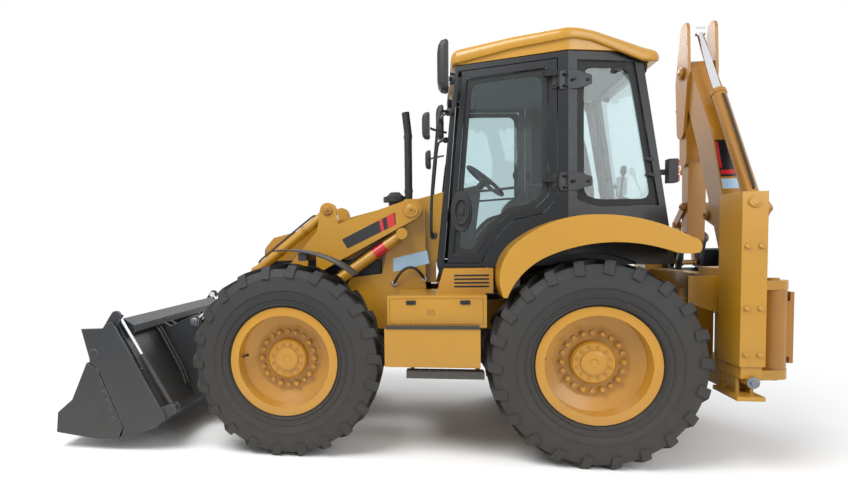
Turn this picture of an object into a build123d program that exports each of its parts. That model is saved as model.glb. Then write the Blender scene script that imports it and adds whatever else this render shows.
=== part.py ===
from build123d import *
import os
from math import cos, hypot, radians, sin

# A full-size backhoe loader: front loader with a clamshell bucket, cab, side-shift backhoe
# folded across the rear frame, and vertical stabiliser legs. Millimetres, +X to the front,
# +Y to the machine's left, +Z up. The origin lies on the ground, under the middle of the
# machine's overall length.

# Driving dimensions
wheelbase = 2170.0
tyre_radius = 715.0
tyre_width = 430.0
wheel_y = 955.0
front_reach = 4030.0
hoe_offset = 1300.0
hoe_bucket_width = 540.0
machine_half_width = 1180.0
fit_gap = 0.3

# Axle places: the machine's length runs from the bucket lip to the back of the hoe bucket
rear_reach = hoe_offset + hoe_bucket_width / 2
ra = (rear_reach - front_reach) / 2
fa = ra + wheelbase
hoe_x = ra - hoe_offset
axle_z = tyre_radius

# Wheel sizes
rim_flange_radius = 403.0
rim_seat_radius = 362.0
rim_wall = 20.0
rim_width = 390.0
rim_edge = 12.0
lug_height = 30.0
lug_count = 22
hub_radius = 150.0
hub_recess = 130.0

# Chassis sizes
rail_inner_y = 270.0
rail_outer_y = 345.0
rail_low_z = axle_z + 145
rail_high_z = rail_low_z + 240
rail_front_x = fa + 400
rail_rear_x = ra - 890 + 0.3
kingpin_y = 730.0
kingpin_radius = 45.0

# Cab sizes: plan widths at the front, door post and rear, low and high
cab_wall = 55.0
cab_low_z = 1380.0
cab_high_z = 2890.0
cab_low = [(ra + 1050, 700), (ra + 140, 880), (ra - 620, 680)]
cab_high = [(ra + 900, 655), (ra + 140, 855), (ra - 400, 635)]
glass_in = 20.0
glass_thick = 6.0

# Loader places in the side view, (x, z)
arm_inner_y = 352.0
arm_outer_y = 460.0
arm_mid_y = (arm_inner_y + arm_outer_y) / 2
arm_pivot = (ra + 1251, 1838.0)
tilt_base = (ra + 1930, 1850.0)
bucket_pivot = (ra + 3000, 420.0)
bucket_top_pin = (ra + 3110, 930.0)
lift_base = (ra + 1326, 1646.0)
lift_eye = (ra + 2270, 985.0)
clam_hinge = (ra + 3680, 760.0)
clam_base = (ra + 3066, 330.0)
clam_eye = (ra + 3500, 1050.0)

# Backhoe places in its own plane: s outwards from the kingpost, z up
kingpost_y = 560.0
boom_foot = (270.0, 920.0)
boom_bend = (960.0, 2400.0)
boom_top = (1400.0, 3060.0)
dipper_tail = (1385.0, 3425.0)
dipper_end = (1450.0, 1560.0)
dipper_cyl_base = (270.0, 1770.0)
boom_cyl_base = (400.0, 650.0)
boom_cyl_eye = (905.0, 1750.0)
bucket_cyl_base = (1590.0, 2760.0)
rocker_pin = (1440.0, 1850.0)
rocker_end = (1660.0, 1690.0)
hoe_bucket_pin = (1560.0, 1330.0)
boom_half = 100.0
cheek_wall = 25.0

# Rear frame and stabiliser legs
frame_front_x = ra - 890
frame_rear_x = ra - 1012
frame_inner_y = 788.0
leg_box_wall = 12.0
leg_rear_x = ra - 1010
leg_front_x = ra - 860
leg_outer_y = 1120.0
leg_low_z = 720.0
leg_high_z = 1850.0
pad_low_z = 500.0

os.makedirs("parts", exist_ok=True)


def box(low, high, mode=Mode.ADD):
    """A block between two corners."""
    size = [b - a for a, b in zip(low, high)]
    middle = [(a + b) / 2 for a, b in zip(low, high)]
    with Locations(tuple(middle)):
        Box(*size, mode=mode)


def across(outline, y_from, y_to, mode=Mode.ADD):
    """An outline of (x, z) points, extruded across the machine."""
    with BuildSketch(Plane.XZ.offset(-y_to)) as face:
        with BuildLine():
            Polyline(*outline, close=True)
        make_face()
    extrude(face.sketch, amount=y_to - y_from, mode=mode)


def across_hull(circles, y_from, y_to, mode=Mode.ADD):
    """A plate that wraps tightly round circles, each given as (x, z, radius)."""
    with BuildSketch(Plane.XZ.offset(-y_to)) as face:
        for x, z, radius in circles:
            with Locations((x, z)):
                Circle(radius)
        make_hull()
    extrude(face.sketch, amount=y_to - y_from, mode=mode)


def disc(spot, radius, y_from, y_to, mode=Mode.ADD):
    """A round boss, pin or bore across the machine at (x, z)."""
    with Locations(Plane(origin=(spot[0], y_from, spot[1]), z_dir=(0, 1, 0))):
        Cylinder(radius, y_to - y_from, align=(Align.CENTER, Align.CENTER, Align.MIN), mode=mode)


def tube(start, end, radius, mode=Mode.ADD):
    """A round bar between two points in space."""
    run = Vector(*end) - Vector(*start)
    with Locations(Plane(origin=start, z_dir=run)):
        Cylinder(radius, run.length, align=(Align.CENTER, Align.CENTER, Align.MIN), mode=mode)


def save(piece, name):
    """Label a finished piece and write it."""
    piece.part.label = name
    export_step(piece.part, f"parts/{name}.step")


def polygon(points, plane):
    """A flat face round points given in a plane's own axes."""
    with BuildSketch(plane) as face:
        with BuildLine():
            Polyline(*points, close=True)
        make_face()
    return face.sketch


# Tyre: a carcass turned about its axle, with a chevron of lugs over each shoulder
wheel_plane = Plane(origin=(0, 0, 0), x_dir=(0, 1, 0), z_dir=(1, 0, 0))
half_tyre = tyre_width / 2
crown = tyre_radius - lug_height
bead = rim_seat_radius + fit_gap
bead_y = rim_width / 2 - rim_edge - fit_gap

with BuildPart() as lugs:
    for side in (1, -1):
        for index in range(lug_count):
            turn = 360 / lug_count * (index + (0.5 if side < 0 else 0))
            with BuildSketch(Plane.XY.rotated((0, turn, 0)).offset(crown - 75)) as foot:
                with BuildLine():
                    Polyline((-25, -14 * side), (25, -14 * side), (155, 170 * side),
                             (155, 214 * side), (90, 214 * side), (90, 160 * side), close=True)
                make_face()
            extrude(foot.sketch, amount=75 + lug_height + 10)
    # The shoulders are rounded off, so a steered wheel passes the bucket's ears
    revolve(polygon([(-165, tyre_radius), (165, tyre_radius), (181, tyre_radius - 26),
                     (208, tyre_radius - 90), (half_tyre, crown - 110), (0, crown - 120),
                     (-half_tyre, crown - 110), (-208, tyre_radius - 90),
                     (-181, tyre_radius - 26)], wheel_plane), axis=Axis.Y, mode=Mode.INTERSECT)

with BuildPart() as tyre:
    revolve(polygon([(-bead_y, bead), (bead_y, bead), (bead_y, rim_flange_radius + 3),
                     (204, rim_flange_radius + 12), (half_tyre, crown - 150),
                     (197, crown - 55), (165, crown), (-165, crown),
                     (-197, crown - 55), (-half_tyre, crown - 150),
                     (-204, rim_flange_radius + 12), (-bead_y, rim_flange_radius + 3)],
                    wheel_plane), axis=Axis.Y)
    add(lugs.part)

# Rim: barrel with stepped flanges, deep dish and planetary hub, for the left side
flange = rim_width / 2
hub_face = flange - hub_recess
with BuildPart() as rim:
    revolve(polygon([(-flange, rim_seat_radius - rim_wall), (flange, rim_seat_radius - rim_wall),
                     (flange, rim_flange_radius), (flange - rim_edge, rim_flange_radius),
                     (flange - rim_edge, rim_seat_radius), (rim_edge - flange, rim_seat_radius),
                     (rim_edge - flange, rim_flange_radius), (-flange, rim_flange_radius)],
                    wheel_plane), axis=Axis.Y)
    revolve(polygon([(-50, 0), (hub_face, 0), (hub_face, hub_radius - 14), (hub_face - 14, hub_radius),
                     (6, hub_radius), (6, 250), (46, rim_seat_radius - rim_wall + 1),
                     (24, rim_seat_radius - rim_wall + 1), (-12, 250), (-12, 190), (-50, 190)],
                    wheel_plane), axis=Axis.Y)
    disc((0, 0), 24, hub_face, hub_face + 8)
    with Locations(Plane(origin=(0, 6, 0), z_dir=(0, 1, 0))):
        with PolarLocations(205, 10):
            Cylinder(17, 22, align=(Align.CENTER, Align.CENTER, Align.MIN))

for end, axle_x in (("front", fa), ("rear", ra)):
    for side, name in ((1, "left"), (-1, "right")):
        with BuildPart() as wheel_tyre:
            add(tyre.part if side > 0 else tyre.part.mirror(Plane.XZ))
            wheel_tyre.part.locate(Location((axle_x, side * wheel_y, axle_z)))
        wheel_tyre.part.label = f"tyre_{end}_{name}"
        export_step(wheel_tyre.part, f"parts/tyre_{end}_{name}.step")
        with BuildPart() as wheel_rim:
            add(rim.part if side > 0 else rim.part.mirror(Plane.XZ))
            wheel_rim.part.locate(Location((axle_x, side * wheel_y, axle_z)))
        wheel_rim.part.label = f"rim_{end}_{name}"
        export_step(wheel_rim.part, f"parts/rim_{end}_{name}.step")

def pair(side, inner, outer):
    """A y span on the left (side 1) or right (side -1)."""
    return (inner, outer) if side > 0 else (-outer, -inner)


def hoe(points):
    """Points of the backhoe's own plane, (s, z), as (y, z) in the folded pose."""
    return [(kingpost_y - s, z) for s, z in points]


def hoe_plate(outline, x_from, x_to, mode=Mode.ADD):
    """An (s, z) outline in the backhoe's plane, extruded between two distances from its middle."""
    with BuildSketch(Plane.YZ.offset(hoe_x + x_from)) as face:
        with BuildLine():
            Polyline(*hoe(outline), close=True)
        make_face()
    extrude(face.sketch, amount=x_to - x_from, mode=mode)


def hoe_hull(circles, x_from, x_to, mode=Mode.ADD):
    """A plate wrapped round (s, z, radius) circles in the backhoe's plane."""
    with BuildSketch(Plane.YZ.offset(hoe_x + x_from)) as face:
        for s, z, radius in circles:
            with Locations((kingpost_y - s, z)):
                Circle(radius)
        make_hull()
    extrude(face.sketch, amount=x_to - x_from, mode=mode)


def hoe_disc(spot, radius, x_from, x_to, mode=Mode.ADD):
    """A boss, pin or bore at (s, z), from x_from to x_to off the backhoe's middle."""
    with Locations(Plane(origin=(hoe_x + x_from, kingpost_y - spot[0], spot[1]), z_dir=(1, 0, 0))):
        Cylinder(radius, x_to - x_from, align=(Align.CENTER, Align.CENTER, Align.MIN), mode=mode)


def hoe_tube(start, end, radius, mode=Mode.ADD):
    """A round bar in the backhoe's middle plane."""
    tube((hoe_x, kingpost_y - start[0], start[1]), (hoe_x, kingpost_y - end[0], end[1]), radius, mode)


def between(start, end, share):
    """The point that lies a share of the way from start to end."""
    return tuple(a + (b - a) * share for a, b in zip(start, end))


def at_distance(start, end, distance):
    """The point that lies a distance from start, towards end."""
    return between(start, end, distance / hypot(end[0] - start[0], end[1] - start[1]))


# Chassis: two box rails, cross members, loader towers and the front beam
with BuildPart() as chassis:
    for side in (1, -1):
        across([(rail_rear_x, rail_low_z), (rail_front_x, rail_low_z),
                (rail_front_x, rail_high_z - 60), (fa + 150, rail_high_z),
                (rail_rear_x, rail_high_z)], *pair(side, rail_inner_y, rail_outer_y))
        across([(ra + 1140, rail_high_z - 20), (ra + 1880, rail_high_z - 20),
                (ra + 1760, 1290), (ra + 1500, 1320), (ra + 1420, 1700), (ra + 1370, 1880),
                (ra + 1300, 1930), (ra + 1190, 1930), (ra + 1140, 1860)],
               *pair(side, rail_inner_y + 40, rail_outer_y))
        for spot, pin, head in ((arm_pivot, 32, 60), (lift_base, 28, 46)):
            disc(spot, pin, *pair(side, rail_outer_y - 1, arm_outer_y + 8))
            disc(spot, head, *pair(side, arm_outer_y + 1.5, arm_outer_y + 16))
    for x_from, x_to in ((-860, -780), (420, 500), (1150, 1230), (1760, 1840)):
        box((ra + x_from, -rail_inner_y - 1, rail_low_z - 50),
            (ra + x_to, rail_inner_y + 1, rail_low_z + 40))
    box((rail_front_x - 90, -330, rail_low_z - 160), (rail_front_x, 330, rail_low_z + 180))
    with Locations((rail_front_x - 45, 0, rail_low_z)):
        Cylinder(22, 500, mode=Mode.SUBTRACT)
save(chassis, "chassis")

# Front axle: housing, drive head and the forks that hold the kingpins
fork_in_z = 110.0
fork_out_z = 150.0
with BuildPart() as front_axle:
    for side in (1, -1):
        tube((fa, side * 130, axle_z), (fa, side * 600, axle_z), 82)
        low, high = pair(side, 580, 650)
        box((fa - 60, low, axle_z - fork_out_z + 5), (fa + 60, high, axle_z + fork_out_z - 5))
        low, high = pair(side, 600, 785)
        for sign in (1, -1):
            z_low, z_high = sorted((axle_z + sign * fork_in_z, axle_z + sign * fork_out_z))
            box((fa - 60, low, z_low), (fa + 60, high, z_high))
    with Locations((fa - 10, 0, axle_z)):
        Sphere(185)
    tube((fa - 10, 0, axle_z + 20), (fa - 260, 0, axle_z + 20), 70)
    box((fa - 90, -120, axle_z + 100), (fa + 90, 120, rail_low_z - fit_gap))
    box((fa - 90, -rail_outer_y, rail_low_z - 30), (fa + 90, rail_outer_y, rail_low_z - fit_gap))
save(front_axle, "front_axle")

# Rear axle: housing, drive head, half-axle tubes and the pads that carry the rails
hub_back_y = wheel_y - 50 - fit_gap
with BuildPart() as rear_axle:
    for side in (1, -1):
        tube((ra, side * 130, axle_z), (ra, side * (hub_back_y - 60), axle_z), 88)
        tube((ra, side * (hub_back_y - 120), axle_z), (ra, side * hub_back_y, axle_z), 150)
        low, high = pair(side, rail_inner_y - 20, rail_outer_y + 10)
        box((ra - 95, low, axle_z), (ra + 95, high, rail_low_z - fit_gap))
    with Locations((ra + 10, 0, axle_z)):
        Sphere(195)
    tube((ra + 10, 0, axle_z + 15), (ra + 290, 0, axle_z + 15), 75)
save(rear_axle, "rear_axle")

# Steering knuckles: kingpin boss, hub carrier, and the arm that holds the front fender
fender_radius = tyre_radius + 100
with BuildPart() as knuckle:
    with Locations((fa, kingpin_y, axle_z)):
        Cylinder(52, 2 * (fork_in_z - fit_gap))
    tube((fa, kingpin_y, axle_z), (fa, hub_back_y, axle_z), 80)
    tube((fa, hub_back_y - 60, axle_z), (fa, hub_back_y, axle_z), 140)
    across([(fa - 20, axle_z - 40), (fa - 20, axle_z + 40), (fa - 110, axle_z + 70),
            (fa - 120, axle_z + fender_radius - 45), (fa - 180, axle_z + fender_radius - 45),
            (fa - 180, axle_z + 30)], kingpin_y - 38, kingpin_y - 5)
    box((fa - 180, kingpin_y - 38, axle_z + fender_radius - 75),
        (fa - 120, wheel_y + 150, axle_z + fender_radius - 16))
    with BuildSketch(Plane.XZ.offset(-(wheel_y + 175))) as fender_face:
        with Locations((fa, axle_z)):
            Circle(fender_radius + 10)
            Circle(fender_radius, mode=Mode.SUBTRACT)
            with BuildLine(Location((fa, axle_z))):
                Polyline((0, 0), (1500 * cos(radians(84)), 1500 * sin(radians(84))), (-700, 1500),
                         (1500 * cos(radians(130)), 1500 * sin(radians(130))), close=True)
            make_face(mode=Mode.INTERSECT)
    extrude(fender_face.sketch, amount=360)
knuckle.part.label = "knuckle_left"
export_step(knuckle.part, "parts/knuckle_left.step")
with BuildPart() as knuckle_right:
    add(knuckle.part.mirror(Plane.XZ))
save(knuckle_right, "knuckle_right")

# Engine, and the gearbox with its drive shafts
with BuildPart() as engine:
    box((ra + 1560, -240, rail_high_z - 70), (ra + 2330, 240, 1560))
save(engine, "engine_block")

with BuildPart() as gearbox:
    box((ra + 560, -220, 690), (ra + 1100, 220, 1130))
    tube((ra + 1100, 0, 1075), (ra + 1560 - fit_gap, 0, 1075), 150)
    tube((ra + 290 + fit_gap, 0, axle_z + 15), (ra + 561, 0, axle_z + 15), 40)
    tube((ra + 1099, 0, axle_z + 20), (fa - 260 - fit_gap, 0, axle_z + 20), 40)
save(gearbox, "gearbox")

# Cab shell: one lofted skin gives the posts, doors and panes
def ring(plan, inset):
    """The cab's six-sided plan, drawn in by an inset."""
    half = [(x, y) for x, y in plan]
    face = half + [(x, -y) for x, y in reversed(half)]
    with BuildSketch() as flat:
        with BuildLine():
            Polyline(*face, close=True)
        make_face()
        if inset:
            offset(amount=-inset, kind=Kind.INTERSECTION)
    return flat.sketch


def cab_skin(inset_from, inset_to):
    """The space between two insets of the cab's leaning sides."""
    with BuildPart() as skin:
        for inset, mode in ((inset_from, Mode.ADD), (inset_to, Mode.SUBTRACT)):
            low = Pos(0, 0, cab_low_z) * ring(cab_low, inset)
            high = Pos(0, 0, cab_high_z) * ring(cab_high, inset)
            loft([low.face(), high.face()], mode=mode)
    return skin.part


def cab_solid(inset):
    """The whole of the cab's outer form, drawn in or grown."""
    low = Pos(0, 0, cab_low_z) * ring(cab_low, inset)
    high = Pos(0, 0, cab_high_z) * ring(cab_high, inset)
    return loft([low.face(), high.face()], mode=Mode.PRIVATE)


door_gap = 6.0
door_outline = [(ra + 1000, 1405), (ra + 880, 2850), (ra + 205, 2850), (ra + 205, 1860),
                (ra + 300, 1760), (ra + 500, 1716), (ra + 565, 1660), (ra + 615, 1595),
                (ra + 665, 1525), (ra + 712, 1445), (ra + 722, 1405)]
door_leaf = [(ra + 980, 1405), (ra + 860, 2850)] + door_outline[2:]
door_pane = [(ra + 932, 1470), (ra + 822, 2790), (ra + 265, 2790), (ra + 265, 1890),
             (ra + 345, 1806), (ra + 530, 1768), (ra + 605, 1702), (ra + 662, 1628),
             (ra + 714, 1550), (ra + 758, 1470)]
quarter_pane = [(ra + 75, 1850), (ra + 75, 2830), (ra - 345, 2830), (ra - 510, 1800), (ra - 60, 1800)]
front_pane = [(600, 1440), (570, 2830), (-570, 2830), (-600, 1440)]
rear_pane = [(570, 1800), (545, 2800), (-545, 2800), (-570, 1800)]


def through(side, outline, shrink=0.0):
    """A prism through one side of the cab, from an (x, z) outline."""
    low, high = pair(side, 560, 1300)
    with BuildSketch(Plane.XZ.offset(-high)) as face:
        with BuildLine():
            Polyline(*outline, close=True)
        make_face()
        if shrink:
            offset(amount=-shrink, kind=Kind.INTERSECTION)
    return extrude(face.sketch, amount=high - low, mode=Mode.PRIVATE)


def lengthways(outline, x_from, x_to, shrink=0.0):
    """A prism along the cab's length, from a (y, z) outline."""
    with BuildSketch(Plane.YZ.offset(x_from)) as face:
        with BuildLine():
            Polyline(*outline, close=True)
        make_face()
        if shrink:
            offset(amount=-shrink, kind=Kind.INTERSECTION)
    return extrude(face.sketch, amount=x_to - x_from, mode=Mode.PRIVATE)


cab_floor_z = 1200.0
arch_radius = tyre_radius + 62
arch_inner_y = 690.0
arch_wall = 16.0


def wheel_arch(side):
    """A shell over the tyre, with its inner wall, kept inside the cab's outer form."""
    low, high = pair(side, arch_inner_y - arch_wall, 900)
    shell = Pos(ra, (low + high) / 2, axle_z) * Rot(90, 0, 0) * Cylinder(arch_radius + 1, high - low)
    low, high = pair(side, arch_inner_y, 910)
    hollow = Cylinder(arch_radius - arch_wall, high - low)
    hollow = Pos(ra, (low + high) / 2, axle_z) * Rot(90, 0, 0) * hollow
    return (shell - hollow) & cab_block


cab_block = cab_solid(0)
arch_shells = [wheel_arch(1), wheel_arch(-1)]
with BuildPart() as cab:
    add(cab_skin(0, cab_wall))
    for side in (1, -1):
        add(through(side, door_outline), mode=Mode.SUBTRACT)
        add(through(side, quarter_pane), mode=Mode.SUBTRACT)
    add(lengthways(front_pane, ra + 780, ra + 1100), mode=Mode.SUBTRACT)
    add(lengthways(rear_pane, ra - 700, ra - 340), mode=Mode.SUBTRACT)
    for side in (1, -1):
        low, high = pair(side, 560, 700)
        across([(ra + 1050, cab_low_z + 1), (ra + 990, cab_floor_z), (ra + 590, cab_floor_z),
                (ra + 640, cab_low_z + 1)], low, high)
    box((ra + 590, -561, cab_floor_z), (ra + 990, 561, cab_floor_z + 40))
    across([(ra + 1050, cab_low_z + 1), (ra + 990, cab_floor_z), (ra + 950, cab_floor_z),
            (ra + 1000, cab_low_z + 60)], -561, 561)
    box((ra + 590, -660, cab_low_z - 100), (ra + 640, 660, cab_low_z + 30))
    box((ra - 560, -640, cab_low_z), (ra + 600, 640, cab_low_z + 30))
    box((ra - 300, -rail_outer_y, rail_high_z + fit_gap), (ra + 400, rail_outer_y, cab_low_z + 1))
    for side in (1, -1):
        disc((ra, axle_z), arch_radius, *pair(side, arch_inner_y, 1300), mode=Mode.SUBTRACT)
    add(arch_shells)
save(cab, "cab_frame")

door_skin = cab_skin(0, cab_wall - 10)
glass_skin = cab_skin(glass_in, glass_in + glass_thick)
for side, name in ((1, "left"), (-1, "right")):
    with BuildPart() as door:
        add(door_skin & through(side, door_leaf, door_gap))
        add(through(side, door_pane), mode=Mode.SUBTRACT)
        for hinge_z in (1980, 2720):
            low, high = pair(side, 830, 872)
            box((ra + 213, low, hinge_z), (ra + 300, high, hinge_z + 40))
    save(door, f"door_{name}")
    with BuildPart() as door_glass:
        add(glass_skin & through(side, door_pane, fit_gap))
    save(door_glass, f"door_glass_{name}")

with BuildPart() as glass:
    for panel in (through(1, quarter_pane, fit_gap), through(-1, quarter_pane, fit_gap),
                  lengthways(front_pane, ra + 780, ra + 1100, fit_gap),
                  lengthways(rear_pane, ra - 700, ra - 340, fit_gap)):
        add(glass_skin & panel)
save(glass, "cab_glass")

# Roof: an arched cap that overhangs the shell, highest over the door posts
roof_plan = [(ra + 935, 668), (ra + 140, 893), (ra - 525, 640)]
roof_low = [(1000, 2902), (880, 2906), (510, 2952), (100, 2970), (-20, 2958), (-400, 2826), (-600, 2834)]
roof_top = [(-600, 2903), (-530, 2925), (-305, 2990), (0, 3074), (110, 3086), (510, 3079), (880, 3056),
            (1000, 3030)]
roof_end = [(-940, 2800), (-940, 3035), (-800, 3095), (800, 3095), (940, 3035), (940, 2800)]
with BuildPart() as roof:
    add(extrude(Pos(0, 0, cab_high_z - 70) * ring(roof_plan, 0), amount=280, mode=Mode.PRIVATE))
    across([(ra + x, z) for x, z in roof_low + [(-600, 3200), (1000, 3200)]], -950, 950, mode=Mode.INTERSECT)
    add(extrude(Pos(0, 0, cab_high_z + fit_gap) * ring(cab_high, 12), amount=200, mode=Mode.PRIVATE))
    across([(ra + x, z) for x, z in roof_top + [(1000, 2700), (-600, 2700)]], -950, 950, mode=Mode.INTERSECT)
    add(lengthways(roof_end, ra - 600, ra + 1000), mode=Mode.INTERSECT)
    add(cab_solid(-fit_gap), mode=Mode.SUBTRACT)
save(roof, "cab_roof")

# Seat, dash with its levers, and steering wheel
seat_x = ra + 130
with BuildPart() as seat:
    across([(seat_x - 250, 1760), (seat_x + 250, 1760), (seat_x + 250, 1880), (seat_x - 150, 1850),
            (seat_x - 250, 2420), (seat_x - 340, 2420)], -240, 240)
save(seat, "seat")

with BuildPart() as seat_base:
    box((seat_x - 200, -180, cab_low_z + 30 + fit_gap), (seat_x + 200, 180, 1760 - fit_gap))
save(seat_base, "seat_base")

with BuildPart() as dash:
    across([(ra + 780, cab_low_z - 140 + fit_gap), (ra + 940, cab_low_z - 140 + fit_gap),
            (ra + 860, 2010), (ra + 700, 2040), (ra + 690, 1960)], -150, 150)
    tube((ra + 760, 0, 1950), (ra + 640, 0, 2085), 30)
    with Locations(Plane(origin=(ra + 640, 0, 2085), z_dir=(-0.66, 0, 0.75))):
        Torus(185, 15)
        Cylinder(50, 30)
        for angle in (0, 120, 240):
            with Locations(Location((0, 0, 0), (0, 0, angle))):
                Box(184, 26, 12, align=(Align.MIN, Align.CENTER, Align.CENTER))
save(dash, "dash")

# Rear fenders: an arched shell over each rear tyre
fender_inner_y = 706.0
fender_outer_y = 1170.0
fender_arcs = [
    # from, through and to, over the top and back under the arch
    ((610, 1180), (628, 1385), (520, 1560)), ((520, 1560), (290, 1690), (0, 1730)),
    ((0, 1730), (-300, 1682), (-560, 1566)), ((-560, 1566), (-612, 1520), (-600, 1468)),
    ((-600, 1468), (-520, 1462), (-440, 1480)), ((-440, 1480), (-50, 1545), (300, 1470)),
    ((300, 1470), (470, 1360), (585, 1180)),
]
with BuildPart() as rear_fenders:
    for side in (1, -1):
        fender_from, fender_to = pair(side, fender_inner_y, fender_outer_y)
        with BuildSketch(Plane.XZ.offset(-fender_to)) as fender_side:
            with BuildLine():
                for arc in fender_arcs:
                    ThreePointArc(*[(ra + x, z) for x, z in arc])
                Line((ra + 585, 1180), (ra + 610, 1180))
            make_face()
        extrude(amount=fender_to - fender_from)
        hollow = [(587, 1180), (604, 1380), (497, 1542), (283, 1662), (0, 1704), (-292, 1656), (-545, 1545),
                  (-590, 1300), (540, 1000)]
        across([(ra + x, z) for x, z in hollow], *pair(side, fender_inner_y - 10, fender_outer_y - 22),
               mode=Mode.SUBTRACT)
    add(cab_solid(-fit_gap), mode=Mode.SUBTRACT)
save(rear_fenders, "rear_fenders")

# Side boxes with their steps: the front face follows the steered tyre's sweep
with BuildPart() as side_boxes:
    for side in (1, -1):
        for z_low, z_high, y_out, x_back in ((680, 955, 1100, 760), (960, 1190, 1045, 712)):
            plan = [(ra + x_back, rail_outer_y + 20), (ra + 1340, rail_outer_y + 20),
                    (ra + 1340, 850), (ra + 1340 + (y_out - 850) * 0.36, y_out), (ra + x_back, y_out)]
            with BuildSketch(Plane.XY.offset(z_low)) as box_plan:
                with BuildLine():
                    Polyline(*[(x, side * y) for x, y in plan], close=True)
                make_face()
            extrude(box_plan.sketch, amount=z_high - z_low)
        across([(ra + 1005, 1374), (ra + 1055, 1189), (ra + 650, 1189), (ra + 650, 1374)],
               *pair(side, 706, 850))
        low, high = pair(side, 700, 720)
        box((ra + 800, low, 940), (ra + 1300, high, 970))
        low, high = pair(side, rail_outer_y + fit_gap, rail_outer_y + 21)
        for x in (820, 1240):
            box((ra + x, low, 900), (ra + x + 60, high, 1060))
        low, high = pair(side, 1000, 1120)
        box((ra + 740, low, 610), (ra + 1270, high, 640))
        for x in (760, 1220):
            box((ra + x, pair(side, 1000, 1020)[0], 635), (ra + x + 30, pair(side, 1000, 1020)[1], 682))
save(side_boxes, "side_boxes")

# Cowl behind the bonnet, with the air cleaner and exhaust stack on it
bonnet_half = 270.0
cowl_front_x = ra + 1505
bonnet_hinge = (cowl_front_x + 12, 1852.0)
with BuildPart() as cowl:
    across([(ra + 1056, 1240), (cowl_front_x, 1240), (cowl_front_x, 1860), (ra + 985, 1985.5),
            (ra + 985, 1600), (ra + 1056, 1400)], -bonnet_half, bonnet_half)
    add(cab_solid(-fit_gap), mode=Mode.SUBTRACT)
    for side in (1, -1):
        across_hull([(*bonnet_hinge, 12), (cowl_front_x - 8, 1842, 8)], *pair(side, 180, 200))
    disc(bonnet_hinge, 8, -190, 190)
    across([(ra + 1060, 1220), (cowl_front_x + 1, 1220), (cowl_front_x + 1, 1836), (ra + 1060, 1943)],
           15 - bonnet_half, bonnet_half - 15, mode=Mode.SUBTRACT)
save(cowl, "cowl")

cowl_seat = [(ra + 1070, 1700), (cowl_front_x, 1700), (cowl_front_x, 1860 + fit_gap),
             (ra + 1070, 1965 + fit_gap)]
with BuildPart() as exhaust:
    tube((ra + 1290, -150, 1880), (ra + 1290, -150, 2560), 34)
    across(cowl_seat, -bonnet_half, bonnet_half, mode=Mode.SUBTRACT)
    tube((ra + 1290, -150, 2545), (ra + 1310, -150, 2730), 34)
save(exhaust, "exhaust_stack")

with BuildPart() as cleaner:
    tube((ra + 1400, 60, 1850), (ra + 1400, 60, 1950), 55)
    across(cowl_seat, -bonnet_half, bonnet_half, mode=Mode.SUBTRACT)
    with Locations((ra + 1400, 60, 1950)):
        Cylinder(100, 45)
        Cone(100, 40, 60, align=(Align.CENTER, Align.CENTER, Align.MIN))
save(cleaner, "air_precleaner")

# Bonnet: a hollow hood that tips up about its rear edge
with BuildPart() as bonnet:
    across([(cowl_front_x + 6, 1440), (ra + 2520, 1440), (ra + 2510, 1560), (ra + 2440, 1640),
            (cowl_front_x + 6, 1858)], -bonnet_half, bonnet_half)
    across([(cowl_front_x, 1400), (ra + 2506, 1400), (ra + 2496, 1552), (ra + 2434, 1626),
            (cowl_front_x, 1844)], 14 - bonnet_half, bonnet_half - 14, mode=Mode.SUBTRACT)
    for y in (-190, 190):
        box((cowl_front_x, y - 16, 1826), (cowl_front_x + 32, y + 16, 1880), mode=Mode.SUBTRACT)
    disc(bonnet_hinge, 12, -170, 170)
    disc(bonnet_hinge, 8 + fit_gap, -175, 175, mode=Mode.SUBTRACT)
save(bonnet, "bonnet")

# Nose: radiator grille and side panels under the bonnet, on the rails
with BuildPart() as nose:
    box((ra + 2440, -bonnet_half, rail_high_z - 40), (ra + 2515, bonnet_half, 1434))
    for side in (1, -1):
        low, high = pair(side, bonnet_half - 14, bonnet_half)
        box((cowl_front_x + 6, low, rail_high_z + 4), (ra + 2441, high, 1434))
    for level in range(9):
        box((ra + 2500, -210, 1090 + 36 * level), (ra + 2530, 210, 1106 + 36 * level), mode=Mode.SUBTRACT)
save(nose, "nose_grille")

# Loader arms: two box plates with a raised lug at the knee, joined by a cross tube
with BuildPart() as arms:
    for side in (1, -1):
        y_span = pair(side, arm_inner_y, arm_outer_y)
        across_hull([(*arm_pivot, 84), (ra + 1830, 1700, 40), (ra + 1810, 1500, 45)], *y_span)
        across_hull([(ra + 1815, 1505, 50), (ra + 1960, 1590, 110), (ra + 2050, 1420, 90)], *y_span)
        across_hull([(ra + 1960, 1590, 110), (*bucket_pivot, 80)], *y_span)
        across_hull([(*lift_base, 54), (ra + 1700, lift_base[1] - 262, 54)], *y_span, mode=Mode.SUBTRACT)
        across_hull([(*tilt_base, 66), (ra + 1880, 1560, 60), (ra + 1980, 1560, 60)], *y_span)
        disc(arm_pivot, 32 + fit_gap, *y_span, mode=Mode.SUBTRACT)
        disc(bucket_pivot, 30 + fit_gap, *y_span, mode=Mode.SUBTRACT)
        across_hull([(*tilt_base, 80), (ra + 2200, 1700, 80), (ra + 2100, 1900, 60)],
                    *pair(side, arm_inner_y + 11, arm_outer_y - 11), mode=Mode.SUBTRACT)
        disc(tilt_base, 26, *y_span)
        across_hull([(*lift_eye, 46), (lift_eye[0] + 20, lift_eye[1] + 120, 60)],
                    *pair(side, arm_inner_y, arm_inner_y + 16))
        across_hull([(*lift_eye, 46), (lift_eye[0] + 20, lift_eye[1] + 120, 60)],
                    *pair(side, arm_outer_y - 16, arm_outer_y))
    tube((ra + 2640, -arm_inner_y - 5, 830), (ra + 2640, arm_inner_y + 5, 830), 55)
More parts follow.
